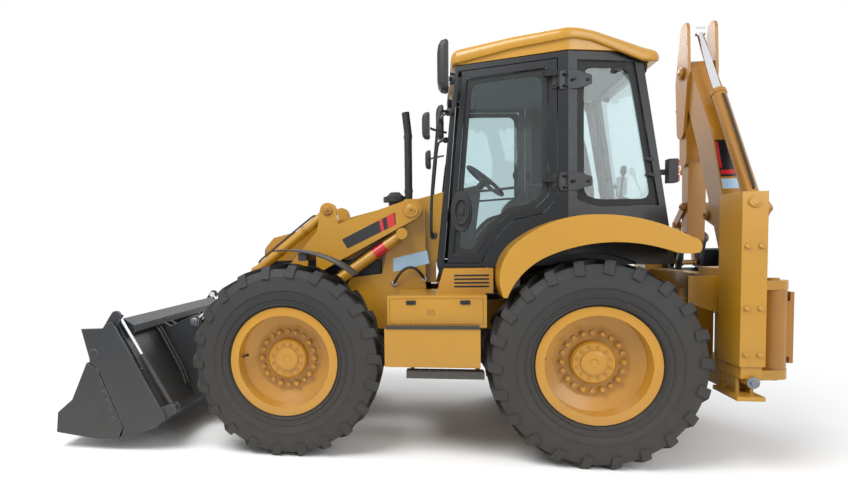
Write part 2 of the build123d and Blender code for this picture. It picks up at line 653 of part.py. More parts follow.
save(arms, "loader_arms")

# Cylinder pieces: a barrel with its base eye and gland, and a rod with its end eye
def barrel(start, end, radius, length, eye, bore, y_from, y_to):
    """A barrel from its base pin towards the rod's eye, in the loader's side view."""
    y = (y_from + y_to) / 2
    near = at_distance(start, end, eye * 0.8)
    far = at_distance(start, end, length)
    tube((near[0], y, near[1]), (far[0], y, far[1]), radius)
    disc(start, eye, y_from, y_to)
    disc(start, bore, y_from, y_to, mode=Mode.SUBTRACT)


def rod(start, end, radius, first, eye, y_from, y_to):
    """A rod that starts inside its barrel and ends in an eye at the far pin."""
    y = (y_from + y_to) / 2
    near = at_distance(start, end, first)
    far = at_distance(end, start, eye * 0.7)
    tube((near[0], y, near[1]), (far[0], y, far[1]), radius)
    disc(end, eye, y_from, y_to)


lift_barrel_length = 700.0
tilt_barrel_length = 830.0
tilt_sleeve_length = 1110.0
eye_inner_y = arm_inner_y + 11 + fit_gap
eye_outer_y = arm_outer_y - 11 - fit_gap
with BuildPart() as lift_barrels:
    for side in (1, -1):
        barrel(lift_base, lift_eye, 46, lift_barrel_length, 46, 28 + fit_gap,
               *pair(side, arm_inner_y + 1, arm_outer_y))
        y_mid = side * arm_mid_y
        low = at_distance(lift_base, lift_eye, 300)
        high = at_distance(lift_base, lift_eye, lift_barrel_length + 1)
        tube((low[0], y_mid, low[1]), (high[0], y_mid, high[1]), 26, mode=Mode.SUBTRACT)
save(lift_barrels, "lift_barrels")

with BuildPart() as lift_rods:
    for side in (1, -1):
        rod(lift_base, lift_eye, 25.5, 340, 38,
            *pair(side, arm_inner_y + 16 + fit_gap, arm_outer_y - 16 - fit_gap))
save(lift_rods, "lift_rods")

with BuildPart() as tilt_barrels:
    for side in (1, -1):
        barrel(tilt_base, bucket_top_pin, 40, tilt_barrel_length, 44, 26 + fit_gap,
               *pair(side, eye_inner_y, eye_outer_y))
        y_mid = side * arm_mid_y
        gland = at_distance(tilt_base, bucket_top_pin, tilt_barrel_length - 10)
        sleeve = at_distance(tilt_base, bucket_top_pin, tilt_sleeve_length)
        tube((gland[0], y_mid, gland[1]), (sleeve[0], y_mid, sleeve[1]), 30)
        low = at_distance(tilt_base, bucket_top_pin, 55)
        high = at_distance(tilt_base, bucket_top_pin, tilt_sleeve_length + 1)
        tube((low[0], y_mid, low[1]), (high[0], y_mid, high[1]), 24, mode=Mode.SUBTRACT)
save(tilt_barrels, "tilt_barrels")

with BuildPart() as tilt_rods:
    for side in (1, -1):
        rod(tilt_base, bucket_top_pin, 23.5, 310, 36, *pair(side, eye_inner_y, eye_outer_y))
save(tilt_rods, "tilt_rods")

# Clamshell bucket: the fixed back half with its ears, and the hinged front half
plate_out = machine_half_width - 8
plate_in = plate_out - 26
clam_arm_y = (plate_in - 32, plate_in - 6)
ear_thick = 20.0
ear_gap = 4.0
with BuildPart() as bucket_back:
    back_wall = [(3516, 1010), (3118, 305), (3105, 262), (3196, 193), (3488, 87), (3488, 112),
                 (3206, 220), (3140, 272), (3145, 300), (3538, 998)]
    top_beam = [(3516, 1011), (3490, 1024), (3398, 972), (3386, 920), (3440, 872)]
    side_plate = [(3516, 1010), (3118, 305), (3105, 262), (3196, 193), (3480, 90), (3452, 184),
                  (3640, 620), (3713, 700), (3740, 800), (3780, 954), (3600, 960), (3560, 1000)]
    across([(ra + x, z) for x, z in back_wall], -plate_out, plate_out)
    across([(ra + x, z) for x, z in top_beam], 110 - plate_in, plate_in - 110)
    for side in (1, -1):
        box((ra + 3000, pair(side, clam_arm_y[0] - 8, plate_in)[0], 640),
            (ra + 3700, pair(side, clam_arm_y[0] - 8, plate_in)[1], 1100), mode=Mode.SUBTRACT)
        across([(ra + x, z) for x, z in side_plate], *pair(side, plate_in, plate_out))
        disc(clam_hinge, 24, *pair(side, clam_arm_y[0] - 4, machine_half_width))
        disc(clam_hinge, 38, *pair(side, plate_out - 1, machine_half_width))
        disc(bucket_pivot, 30, *pair(side, arm_inner_y - ear_gap - 10, arm_outer_y + ear_gap + 10))
        for y_in in (arm_inner_y - ear_gap - ear_thick, arm_outer_y + ear_gap):
            across_hull([(*bucket_pivot, 62), (*bucket_top_pin, 56), (ra + 3330, 850, 40),
                         (ra + 3140, 330, 30)], *pair(side, y_in, y_in + ear_thick))
            across_hull([(ra + 3330, 850, 40), (ra + 3440, 920, 30), (ra + 3150, 330, 25)],
                        *pair(side, y_in, y_in + ear_thick))
        disc(bucket_top_pin, 42, *pair(side, arm_inner_y - ear_gap - 1, arm_inner_y + 11))
        disc(bucket_top_pin, 42, *pair(side, arm_outer_y - 11, arm_outer_y + ear_gap + 1))
        for y_from, y_to in ((clam_arm_y[0] - 64, clam_arm_y[0] - 48), (clam_arm_y[0], plate_in + 1)):
            across_hull([(*clam_base, 40), (ra + 3130, 330, 20), (ra + 3140, 272, 12)],
                        *pair(side, y_from, y_to))
        disc(clam_base, 20, *pair(side, clam_arm_y[0] - 60, plate_in))
save(bucket_back, "loader_bucket")

with BuildPart() as clam:
    floor_line = [(3494, 87), (3680, 86), (4030, 130), (4026, 152), (3684, 114), (3494, 113)]
    side_front = [(3508, 90), (3680, 88), (4030, 131), (4012, 290), (3883, 395), (3745, 690),
                  (3660, 640), (3462, 186)]
    across([(ra + x, z) for x, z in floor_line], -plate_out, plate_out)
    for side in (1, -1):
        across([(ra + x, z) for x, z in side_front], *pair(side, clam_arm_y[1] - 1, plate_out))
        disc(clam_hinge, 92, *pair(side, clam_arm_y[1] - 2, plate_out + 1), mode=Mode.SUBTRACT)
        across([(ra + x, z) for x, z in side_front], *pair(side, *clam_arm_y))
        across_hull([(*clam_hinge, 62), (ra + 3680, 600, 50)], *pair(side, *clam_arm_y))
        across_hull([(*clam_hinge, 56), (*clam_eye, 42)], *pair(side, *clam_arm_y))
        disc(clam_hinge, 24 + fit_gap, *pair(side, *clam_arm_y), mode=Mode.SUBTRACT)
save(clam, "bucket_clam")

# Clam cylinders, behind the back wall beside each side plate
clam_eye_y = (clam_arm_y[0] - 47.7, clam_arm_y[0] - fit_gap)
with BuildPart() as clam_barrels:
    for side in (1, -1):
        barrel(clam_base, clam_eye, 24, 490, 30, 20 + fit_gap, *pair(side, *clam_eye_y))
        y_mid = side * sum(clam_eye_y) / 2
        low = at_distance(clam_base, clam_eye, 48)
        high = at_distance(clam_base, clam_eye, 491)
        tube((low[0], y_mid, low[1]), (high[0], y_mid, high[1]), 15, mode=Mode.SUBTRACT)
save(clam_barrels, "clam_barrels")

with BuildPart() as clam_rods:
    for side in (1, -1):
        rod(clam_base, clam_eye, 14.7, 340, 28, *pair(side, *clam_eye_y))
save(clam_rods, "clam_rods")

# Rear frame: rails for the carriage, uprights, and the stabilisers' outer boxes
rail_top = (1160.0, 1290.0)
rail_bottom = (560.0, 690.0)
with BuildPart() as hoe_frame:
    for z_low, z_high in (rail_top, rail_bottom):
        box((frame_rear_x, -frame_inner_y - 3, z_low), (frame_front_x, frame_inner_y + 3, z_high))
    for side in (1, -1):
        low, high = pair(side, rail_inner_y - 30, rail_outer_y + 20)
        box((frame_rear_x + 15, low, rail_bottom[0] + 10), (frame_front_x, high, rail_top[1] - 10))
        across([(frame_front_x - 1, 1030), (ra - 690, 1100), (ra - 690, 1290), (frame_front_x - 1, 1290)],
               *pair(side, 690, 728))
        low, high = pair(side, frame_inner_y, leg_outer_y)
        box((leg_rear_x, low, leg_low_z), (leg_front_x, high, leg_high_z))
        low, high = pair(side, frame_inner_y + leg_box_wall, leg_outer_y - leg_box_wall)
        box((leg_rear_x + leg_box_wall, low, leg_low_z - 5),
            (leg_front_x - leg_box_wall, high, leg_high_z - 40), mode=Mode.SUBTRACT)
        disc((ra - 925, 1785), 30, *pair(side, leg_outer_y - 1, leg_outer_y + 14))
save(hoe_frame, "hoe_frame")

# Stabiliser inner legs with their ground pads
for side, name in ((1, "left"), (-1, "right")):
    with BuildPart() as leg:
        low, high = pair(side, frame_inner_y + leg_box_wall + fit_gap, leg_outer_y - leg_box_wall - fit_gap)
        box((leg_rear_x + leg_box_wall + fit_gap, low, 640),
            (leg_front_x - leg_box_wall - fit_gap, high, 1700))
        low, high = pair(side, frame_inner_y + 30, leg_outer_y - 30)
        box((leg_rear_x + 30, low, 700), (leg_front_x - 30, high, 1701), mode=Mode.SUBTRACT)
        for x_from in (leg_rear_x + 22, leg_front_x - 42):
            low, high = pair(side, 880, 1020)
            box((x_from, low, 525), (x_from + 20, high, 641))
        low, high = pair(side, 770, 1140)
        box((leg_rear_x + 4, low, pad_low_z), (leg_front_x + 18, high, pad_low_z + 28))
        disc((ra - 935, 620), 30, *pair(side, 860, 1135))
    save(leg, f"stabiliser_{name}")

# Carriage that slides along the frame's rails, with the two kingpost lugs
lug_low = (545.0, 615.0)
lug_high = (1185.0, 1250.0)
post_radius = 42.0
with BuildPart() as carriage:
    box((ra - 1066, kingpost_y - 215, 515), (frame_rear_x - fit_gap, kingpost_y + 215, 1345))
    for z_low, z_high in ((rail_top[1] + fit_gap, 1345), (515, rail_bottom[0] - fit_gap)):
        box((frame_rear_x - 1, kingpost_y - 200, z_low), (frame_front_x, kingpost_y + 200, z_high))
    for z_low, z_high in (lug_low, lug_high):
        with BuildSketch(Plane.XY.offset(z_low)) as lug_face:
            with Locations((hoe_x, kingpost_y)):
                Circle(92)
            with Locations((ra - 1060, kingpost_y - 150), (ra - 1060, kingpost_y + 150)):
                Circle(5)
            make_hull()
        extrude(lug_face.sketch, amount=z_high - z_low)
    with Locations((hoe_x, kingpost_y, (lug_low[0] + lug_high[1]) / 2)):
        Cylinder(post_radius, lug_high[1] - lug_low[0] + 30)
save(carriage, "carriage")

# Kingpost: swings on the carriage's post and carries the boom and its cylinder
post_low = lug_low[1] + fit_gap
post_high = lug_high[0] - fit_gap
with BuildPart() as kingpost:
    with Locations((hoe_x, kingpost_y, (post_low + post_high) / 2)):
        Cylinder(88, post_high - post_low)
    for x_from in (-boom_half - fit_gap - cheek_wall, boom_half + fit_gap):
        hoe_plate([(-30, post_low + 40), (-30, post_high - 20), (140, post_high - 20), (330, 1010),
                   (365, 900), (470, 720), (465, 640), (425, 592), (370, 585), (110, 640)],
                  x_from, x_from + cheek_wall)
    hoe_plate([(-30, 700), (-30, 1100), (130, 1100), (130, 700)], -boom_half - 1, boom_half + 1)
    with Locations((hoe_x, kingpost_y, (post_low + post_high) / 2)):
        Cylinder(post_radius + fit_gap, post_high - post_low + 10, mode=Mode.SUBTRACT)
    hoe_disc(boom_foot, 40, -boom_half - 50, boom_half + 50)
    hoe_disc(boom_cyl_base, 32, -boom_half - 40, boom_half + 40)
save(kingpost, "kingpost")

# Boom: a bent box beam, with lugs for its own cylinder and for the dipper's
base_eye_half = 60.0
rod_eye_half = 45.0
boom_eye_half = 66.0
with BuildPart() as boom:
    hoe_hull([(*boom_foot, 85), (*boom_bend, 145)], -boom_half, boom_half)
    hoe_hull([(*boom_bend, 145), (*boom_top, 105)], -boom_half, boom_half)
    hoe_disc(boom_foot, 40 + fit_gap, -boom_half, boom_half, mode=Mode.SUBTRACT)
    hoe_disc(boom_top, 45, -boom_half - cheek_wall - 12, boom_half + cheek_wall + 12)
    for x_from in (-base_eye_half - fit_gap - 20, base_eye_half + fit_gap):
        hoe_hull([(*dipper_cyl_base, 55), (510, 1560, 90), (560, 1800, 60)], x_from, x_from + 20)
    hoe_disc(dipper_cyl_base, 26, -base_eye_half - 25, base_eye_half + 25)
    for x_from in (-boom_eye_half - fit_gap - 20, boom_eye_half + fit_gap):
        hoe_hull([(*boom_cyl_eye, 50), (720, 1700, 60), (800, 1900, 60)], x_from, x_from + 20)
    for x_from in (-boom_eye_half - fit_gap - 26, boom_eye_half + fit_gap):
        hoe_disc(boom_cyl_eye, 30, x_from, x_from + 26)
    # A shallow channel underneath takes the barrel when the boom is right down
    hoe_plate([(404, 1023), (560, 1358), (671, 1307), (515, 971)], -66, 66, mode=Mode.SUBTRACT)
save(boom, "boom")

# Dipper: cheeks over the boom's end with the tail pin above, then a box arm
dip_half = 75.0
with BuildPart() as dipper:
    for x_from in (-boom_half - fit_gap - cheek_wall, boom_half + fit_gap):
        hoe_hull([(*dipper_tail, 85), (*boom_top, 130), (1460, 3000, 110)], x_from, x_from + cheek_wall)
        hoe_hull([(*boom_top, 130), (1460, 3000, 110), (1440, 2560, 86)], x_from, x_from + cheek_wall)
        hoe_disc(boom_top, 45 + fit_gap, x_from, x_from + cheek_wall, mode=Mode.SUBTRACT)
    hoe_hull([(1455, 2755, 60), (1440, 2560, 85), (1430, 2300, 85)], -boom_half - 1, boom_half + 1)
    hoe_hull([(1440, 2560, 88), (dipper_end[0], dipper_end[1], 62)], -dip_half, dip_half)
    for x_from in (-base_eye_half - fit_gap - 20, base_eye_half + fit_gap):
        hoe_hull([(*bucket_cyl_base, 45), (1480, 2700, 45), (1480, 2840, 40)], x_from, x_from + 20)
    hoe_disc(bucket_cyl_base, 24, -base_eye_half - 25, base_eye_half + 25)
    hoe_disc(dipper_end, 34, -dip_half - 30, dip_half + 30)
    hoe_disc(rocker_pin, 28, -dip_half - 22, dip_half + 22)
save(dipper, "dipper")

# Rocker and link that turn the hoe bucket
with BuildPart() as rocker:
    for x_from in (-dip_half - fit_gap - 18, dip_half + fit_gap):
        hoe_hull([(*rocker_pin, 42), (*rocker_end, 38)], x_from, x_from + 18)
        hoe_disc(rocker_pin, 28 + fit_gap, x_from, x_from + 18, mode=Mode.SUBTRACT)
    for x_from in (-dip_half - 28, dip_half + 17):
        hoe_disc(rocker_end, 26, x_from, x_from + 11)
save(rocker, "bucket_rocker")

with BuildPart() as link:
    for x_from in (-rod_eye_half - 2 * fit_gap - 18, rod_eye_half + 2 * fit_gap):
        hoe_hull([(*rocker_end, 38), (*hoe_bucket_pin, 36)], x_from, x_from + 18)
    for x_from in (-dip_half, rod_eye_half + fit_gap + 17):
        hoe_disc(rocker_end, 30, x_from, x_from + 12.7)
    hoe_disc(hoe_bucket_pin, 24, -dip_half - 30, dip_half + 30)
save(link, "bucket_link")

# Backhoe bucket: two side plates, a rolled back, a lip and teeth
hoe_half = hoe_bucket_width / 2
back_curve = [(1470, 1610), (1600, 1400), (1610, 1280), (1580, 1100), (1470, 960), (1300, 890),
              (1120, 890), (930, 945)]
back_inner = [(930, 965), (1120, 912), (1295, 912), (1455, 980), (1560, 1110), (1588, 1280)]
with BuildPart() as hoe_bucket:
    for x_from in (-hoe_half, hoe_half - 20):
        hoe_plate([(1400, 1440), (1500, 1450)] + back_curve[2:] + [(930, 975)], x_from, x_from + 20)
    hoe_plate(back_curve[2:] + back_inner, -hoe_half, hoe_half)
    for x_from in (-dip_half - fit_gap - 22, dip_half + fit_gap):
        hoe_hull([(*dipper_end, 58), (*hoe_bucket_pin, 50), (1560, 1240, 40)], x_from, x_from + 22)
        hoe_disc(dipper_end, 34 + fit_gap, x_from, x_from + 22, mode=Mode.SUBTRACT)
        hoe_disc(hoe_bucket_pin, 24 + fit_gap, x_from, x_from + 22, mode=Mode.SUBTRACT)
    for x_from, x_to in ((19 - hoe_half, -dip_half - 34), (dip_half + 34, hoe_half - 19)):
        hoe_plate([(1500, 1450), (1516, 1462), (1626, 1282), (1606, 1270)], x_from, x_to)
    for index in range(4):
        middle = -hoe_half + 45 + index * (hoe_bucket_width - 90) / 3
        hoe_plate([(960, 932), (955, 975), (830, 985), (800, 978)], middle - 32, middle + 32)
save(hoe_bucket, "hoe_bucket")


def hoe_barrel(start, end, radius, length, eye, pin, half, bore_radius, bore_from):
    """A barrel in the backhoe's plane, bored for its rod."""
    near = at_distance(start, end, eye * 0.8)
    far = at_distance(start, end, length)
    hoe_tube(near, far, radius)
    hoe_disc(start, eye, -half, half)
    hoe_disc(start, pin + fit_gap, -half, half, mode=Mode.SUBTRACT)
    hoe_tube(at_distance(start, end, bore_from), at_distance(start, end, length + 1), bore_radius,
             Mode.SUBTRACT)


def hoe_rod(start, end, radius, first, eye, half):
    """A rod in the backhoe's plane, ending in an eye."""
    hoe_tube(at_distance(start, end, first), at_distance(end, start, eye * 0.7), radius)
    hoe_disc(end, eye, -half, half)


cylinders = [
    # name, base pin, rod pin, barrel radius and length, rod radius and start, bore start,
    # base pin radius, half width of the rod's eye
    ("boom_cylinder", boom_cyl_base, boom_cyl_eye, 60, 680, 30, 570, 110, 32, boom_eye_half),
    ("dipper_cylinder", dipper_cyl_base, dipper_tail, 55, 1240, 30, 760, 190, 26, rod_eye_half),
    ("hoe_bucket_cylinder", bucket_cyl_base, rocker_end, 48, 600, 26, 500, 115, 24, rod_eye_half),
]
for name, base, tip, radius, length, rod_radius, first, bore_start, pin, eye_half in cylinders:
    with BuildPart() as hoe_cylinder:
        hoe_barrel(base, tip, radius, length, 50, pin, base_eye_half, rod_radius + fit_gap, bore_start)
    save(hoe_cylinder, f"{name}_barrel")
    with BuildPart() as hoe_cylinder_rod:
        hoe_rod(base, tip, rod_radius, first, 42, eye_half)
    save(hoe_cylinder_rod, f"{name}_rod")

# Mirrors, hand rails and lamps on the cab
with BuildPart() as fittings:
    for side in (1, -1):
        low, high = pair(side, 960, 1160)
        box((ra + 985, low, 2610), (ra + 1020, high, 2960))
        tube((ra + 880, side * 600, 2800), (ra + 945, side * 600, 2800), 15)
        tube((ra + 931, side * 600, 2800), (ra + 1003, side * 1060, 2800), 12)
        low, high = pair(side, 900, 1010)
        box((ra + 1110, low, 2310), (ra + 1140, high, 2500))
        tube((ra + 930, side * 620, 2400), (ra + 1122, side * 950, 2400), 9)
        tube((ra + 1080, side * 740, 1600), (ra + 1030, side * 740, 2560), 11)
        tube((ra + 1080, side * 740, 1610), (ra + 1020, side * 670, 1610), 9)
        tube((ra + 1031, side * 740, 2545), (ra + 950, side * 640, 2545), 9)
    add(cab_solid(-fit_gap), mode=Mode.SUBTRACT)
save(fittings, "mirrors")
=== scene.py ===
# %% [markdown]
# # A full-size backhoe loader
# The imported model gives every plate, cylinder and wheel at its real size and place, in metres.
# This lesson dresses it: paint, rubber and glass first, then the small fittings that a solid model
# leaves out. Each new piece rides on the body that carries it, so the machine can still move.

# %% Load the frame
import bpy
import bmesh
from math import cos, radians, sin, pi
from mathutils import Matrix, Vector


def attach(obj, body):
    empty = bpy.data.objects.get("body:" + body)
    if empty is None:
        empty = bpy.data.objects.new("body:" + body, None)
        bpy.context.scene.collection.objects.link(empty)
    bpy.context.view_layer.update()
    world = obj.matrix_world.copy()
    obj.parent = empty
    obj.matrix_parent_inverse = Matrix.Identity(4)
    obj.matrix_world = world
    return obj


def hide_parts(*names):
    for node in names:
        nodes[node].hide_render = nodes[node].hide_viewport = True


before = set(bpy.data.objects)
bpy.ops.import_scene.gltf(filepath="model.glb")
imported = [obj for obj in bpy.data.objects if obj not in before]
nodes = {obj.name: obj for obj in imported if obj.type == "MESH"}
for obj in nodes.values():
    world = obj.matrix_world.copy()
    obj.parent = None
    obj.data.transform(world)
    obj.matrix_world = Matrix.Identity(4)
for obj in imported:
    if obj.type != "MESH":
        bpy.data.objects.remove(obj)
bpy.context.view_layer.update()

# %% [markdown]
# ## Where things are
# Lengths along the machine are easiest to read from the rear axle, so every x below is that
# distance, and one function turns it into the frame's own x. The cab's sides lean and bow, so a
# second function says how far out the cab's skin is at any spot of its side view.

# %% Places on the machine
rear_axle_x = -1.23
SIDES = (("left", 1), ("right", -1))


def along(distance):
    """The frame's x for a distance ahead of the rear axle."""
    return rear_axle_x + distance


def mix(a, b, share):
    """The value that lies a share of the way from a to b."""
    return a + (b - a) * share


def side_view(points):
    """Points of the side view, ahead of the rear axle and up, in the frame's own x and z."""
    return [(along(r), z) for r, z in points]


def on_side(side, points):
    """Points ahead of the rear axle, out to one side and up, in the frame's own x, y and z."""
    return [(along(r), side * y, z) for r, y, z in points]


# the cab's plan corners (ahead of the rear axle, half width), at its sill and at its top
SILL_Z, TOP_Z = 1.38, 2.89
POST_R = 0.140
SILL_PLAN = ((1.050, 0.700), (POST_R, 0.880), (-0.620, 0.680))
TOP_PLAN = ((0.900, 0.655), (POST_R, 0.855), (-0.400, 0.635))


def cab_corners(z):
    """The front, door post and rear corners of the cab's left side at a height."""
    share = (z - SILL_Z) / (TOP_Z - SILL_Z)
    return [(mix(a[0], b[0], share), mix(a[1], b[1], share)) for a, b in zip(SILL_PLAN, TOP_PLAN)]


def cab_side(r, z, out=0.0):
    """Half width of the cab's skin at one spot of its side, moved outwards."""
    front, post, rear = cab_corners(z)
    end = front if r > post[0] else rear
    return mix(post[1], end[1], (r - post[0]) / (end[0] - post[0])) + out


print("cab half width at the door post:", round(cab_side(POST_R, 2.0), 3), "m")

# %% [markdown]
# ## The camera
# The photograph was taken from the machine's left, near its middle, at about eye height and from
# quite near, which is why the wheels look large. A wide lens, a small turn towards the front and
# a small shift of the picture give the same view.

# %% Camera
LENS_MM, SENSOR_MM = 27.17, 36.0
LENS_SHIFT = (0.140, 0.0524)
CAMERA_PLACE = (-0.1524, 5.6966, 1.5637)
CAMERA_TURN = (86.567, 1.247, -168.707)

camera_data = bpy.data.cameras.new("camera")
camera_data.lens = LENS_MM
camera_data.sensor_width = SENSOR_MM
camera_data.shift_x, camera_data.shift_y = LENS_SHIFT
camera = bpy.data.objects.new("camera", camera_data)
camera.location = CAMERA_PLACE
camera.rotation_euler = [radians(angle) for angle in CAMERA_TURN]
bpy.context.scene.collection.objects.link(camera)
bpy.context.scene.camera = camera
print("camera", round(camera.location.y, 2), "m to the left of the middle")

# %% [markdown]
# ## Finishes
# Every finish starts from the real material and from how its surface was made. Colours are
# written as the hex values that a screen shows, and one function turns them linear. Small
# functions add a node with its settings and its links.

# %% Colour and node helpers
def linear(shown):
    """A hex colour as a screen shows it, turned to linear red, green, blue, alpha."""
    parts = [int(shown[i:i + 2], 16) / 255 for i in (1, 3, 5)]
    return (*[c / 12.92 if c <= 0.04045 else ((c + 0.055) / 1.055) ** 2.4 for c in parts], 1.0)


def set_inputs(tree, node, inputs):
    """Set a node's inputs; each one gets a value or another node's output."""
    for name, value in inputs.items():
        if isinstance(value, bpy.types.NodeSocket):
            tree.links.new(value, node.inputs[name])
        else:
            node.inputs[name].default_value = value


def add_node(tree, kind, inputs=None, **settings):
    """Add a shader node with its inputs and its own settings."""
    made = tree.nodes.new("ShaderNode" + kind)
    for name, value in settings.items():
        setattr(made, name, value)
    set_inputs(tree, made, inputs or {})
    return made


def noise(tree, place, size, detail, roughness=0.5):
    """A noise texture whose patches have about that size in metres."""
    return add_node(tree, "TexNoise", {"Vector": place, "Scale": 1 / size, "Detail": detail,
                                       "Roughness": roughness}).outputs["Fac"]


def spread(tree, value, from_min, from_max, to_min, to_max):
    """A value moved from one range to another, and held inside it."""
    return add_node(tree, "MapRange", {"Value": value, "From Min": from_min, "From Max": from_max,
                                       "To Min": to_min, "To Max": to_max}).outputs[0]


def blend(tree, share, first, second):
    """A colour between two, by the share of the second."""
    return add_node(tree, "Mix", {0: share, 6: first, 7: second}, data_type="RGBA").outputs[2]


def product(tree, one, two, clamp=False):
    """Two values multiplied."""
    return add_node(tree, "Math", {0: one, 1: two}, operation="MULTIPLY", use_clamp=clamp).outputs[0]


def new_finish(name):
    """An empty material with a main shader."""
    made = bpy.data.materials.new(name)
    made.use_nodes = True
    made.node_tree.nodes.clear()
    shader = add_node(made.node_tree, "BsdfPrincipled")
    out = add_node(made.node_tree, "OutputMaterial")
    made.node_tree.links.new(shader.outputs[0], out.inputs["Surface"])
    return made, made.node_tree, shader


# %% [markdown]
# ### Sprayed enamel
# Machine paint is two-pack enamel sprayed on steel: even in colour, faintly rippled like orange
# peel, and glossy enough to mirror the sky. It dulls where hands, rain and dust reach it. One
# function makes every coated or moulded surface of the machine, because they differ only in
# colour, gloss, the size of their ripple and how much dust lies on them. Plates have small
# rounded edges that catch light; the Bevel node draws those without new faces.

# %% Coated surfaces
# sizes in metres of the soft patches and of the film that dust and wear follow
PATCH, FILM = 0.45, 0.06
DUST = "#8a7c66"


def coated(name, clean, dull, roughness, ripple_mm, ripple, coat=0.0, dust=0.25,
           dust_top=1.2, edge_mm=4.0, metallic=0.0, ior=1.5, worn=None):
    """A coated surface: two tones in soft patches, ripple, dust low down, edges rounded or worn."""
    made, tree, shader = new_finish(name)
    place = add_node(tree, "TexCoord").outputs["Object"]
    patches = noise(tree, place, PATCH, 4.0, 0.6)
    tone = blend(tree, patches, linear(clean), linear(dull))
    height = add_node(tree, "SeparateXYZ", {0: place}).outputs["Z"]
    low = spread(tree, height, 0.1, dust_top, dust, 0.0)
    film = noise(tree, place, FILM, 6.0, 0.7)
    colour = blend(tree, product(tree, low, film), tone, linear(DUST))
    gloss = spread(tree, film, 0.3, 0.7, roughness - 0.05, roughness + 0.07)
    rounded_edge = add_node(tree, "Bevel", {"Radius": edge_mm / 1000}, samples=4).outputs[0]
    peel = noise(tree, place, ripple_mm / 1000, 2.0)
    bump = add_node(tree, "Bump", {"Height": peel, "Strength": ripple, "Distance": 0.002,
                                   "Normal": rounded_edge})
    if worn:
        flat_side = add_node(tree, "NewGeometry").outputs["Normal"]
        turn = add_node(tree, "VectorMath", {0: rounded_edge, 1: flat_side}, operation="DOT_PRODUCT")
        edge = spread(tree, turn.outputs["Value"], 0.995, 0.9, 0.0, 1.4)
        colour = blend(tree, product(tree, edge, film, True), colour, linear(worn))
    set_inputs(tree, shader, {"Base Color": colour, "Roughness": gloss, "Normal": bump.outputs[0],
                              "Metallic": metallic, "IOR": ior, "Coat Weight": coat,
                              "Coat Roughness": 0.12})
    return made


yellow = coated("yellow enamel on steel", "#B58318", "#A77716", 0.34, 5, 0.05, coat=0.35)
rim_yellow = coated("yellow enamel on wheel rims", "#C08918", "#AC7714", 0.36, 5, 0.05,
                    coat=0.25, dust=0.35)
# a darker copy of the yellow enamel: painted shade for the backhoe's shaded side, also used on pin caps,
# glands and the service door's seam
shaded_yellow = coated("yellow enamel, shaded side", "#A8711A", "#946317", 0.38, 5, 0.06,
                    coat=0.25)
cab_black = coated("satin black enamel on the cab", "#12161B", "#0D1014", 0.36, 3, 0.06,
                   coat=0.1, dust=0.1, ior=1.4)
bucket_grey = coated("dark grey enamel on the bucket", "#262A2F", "#1F2328", 0.42, 4, 0.12,
                     dust=0.2, edge_mm=6, worn="#8d9299")
axle_black = coated("black enamel on castings", "#26282A", "#1d1f20", 0.55, 3, 0.35, dust=0.5)
cast = coated("sand-cast iron, painted grey", "#4a4d50", "#3a3c3f", 0.6, 3, 0.6, dust=0.4)
black_plastic = coated("grained black ABS", "#1b1c1e", "#161718", 0.5, 1.6, 0.2, dust=0.05)
soft_black = coated("matt EPDM rubber trim", "#141516", "#0f1011", 0.7, 2, 0.1, dust=0.1)
stack_black = coated("heat-proof black on the exhaust", "#232425", "#2b2623", 0.5, 2, 0.2,
                     dust=0.0, metallic=0.3)
tyre_rubber = coated("moulded tyre rubber", "#1f2022", "#191a1b", 0.66, 6, 0.25, dust=0.2,
                     dust_top=1.5, edge_mm=7)
zinc = coated("zinc-plated steel", "#b9bcc0", "#a5a29a", 0.32, 2, 0.08, dust=0.05,
              metallic=1.0, edge_mm=1.5)
bare_steel = coated("scraped bare steel", "#8b8f94", "#6f7276", 0.38, 3, 0.25, dust=0.2,
                    metallic=0.9, edge_mm=2)
red_film = coated("red gloss film", "#c8202a", "#b31c25", 0.3, 4, 0.02, coat=0.3, edge_mm=0.5)
black_film = coated("black gloss film", "#16161a", "#121215", 0.3, 4, 0.02, coat=0.3,
                    edge_mm=0.5)
pale_film = coated("pale blue sheet", "#a9c6dc", "#9bbad2", 0.3, 4, 0.02, edge_mm=0.5)
liner_grey = coated("needle-felt headliner", "#6d7a7c", "#5e6a6c", 0.85, 2, 0.4, dust=0.0)
floor_mat = coated("ribbed rubber mat", "#222426", "#1b1c1e", 0.75, 3, 0.3, dust=0.3)

# %% [markdown]
# ### Chrome, glass, lamps and cloth
# Cylinder rods are steel, ground and hard-chromed: almost a mirror, a little duller in small
# patches. Cab glass is 6 mm toughened sheet with a faint green-blue tint; lamps' light passes
# through it, so rays towards lamps see a clear surface. Lamp lenses are clear, amber or red
# polycarbonate. The seat is woven polyester, with a thread every 3 mm so that it shows.

# %% Other finishes
# sizes in metres of the rod's marks and of a thread, and of a wave texture's step at scale 1
MARK, THREAD, WAVE = 0.01, 0.003, 0.314

chrome, tree, shader = new_finish("hard-chromed rod")
place = add_node(tree, "TexCoord").outputs["Object"]
shine = spread(tree, noise(tree, place, MARK, 3.0), 0.0, 1.0, 0.06, 0.2)
set_inputs(tree, shader, {"Base Color": linear("#dfe1e4"), "Metallic": 1.0, "Roughness": shine})


def see_through(name, tint, roughness=0.02):
    """Glass or clear plastic that lets lamp light through."""
    made, tree, shader = new_finish(name)
    set_inputs(tree, shader, {"Base Color": linear(tint), "Roughness": roughness, "IOR": 1.5,
                              "Transmission Weight": 1.0})
    clear = add_node(tree, "BsdfTransparent", {"Color": linear(tint)})
    rays = add_node(tree, "LightPath")
    both = add_node(tree, "MixShader", {0: rays.outputs["Is Shadow Ray"], 1: shader.outputs[0],
                                        2: clear.outputs[0]})
    out = next(n for n in tree.nodes if n.type == "OUTPUT_MATERIAL")
    tree.links.new(both.outputs[0], out.inputs["Surface"])
    return made


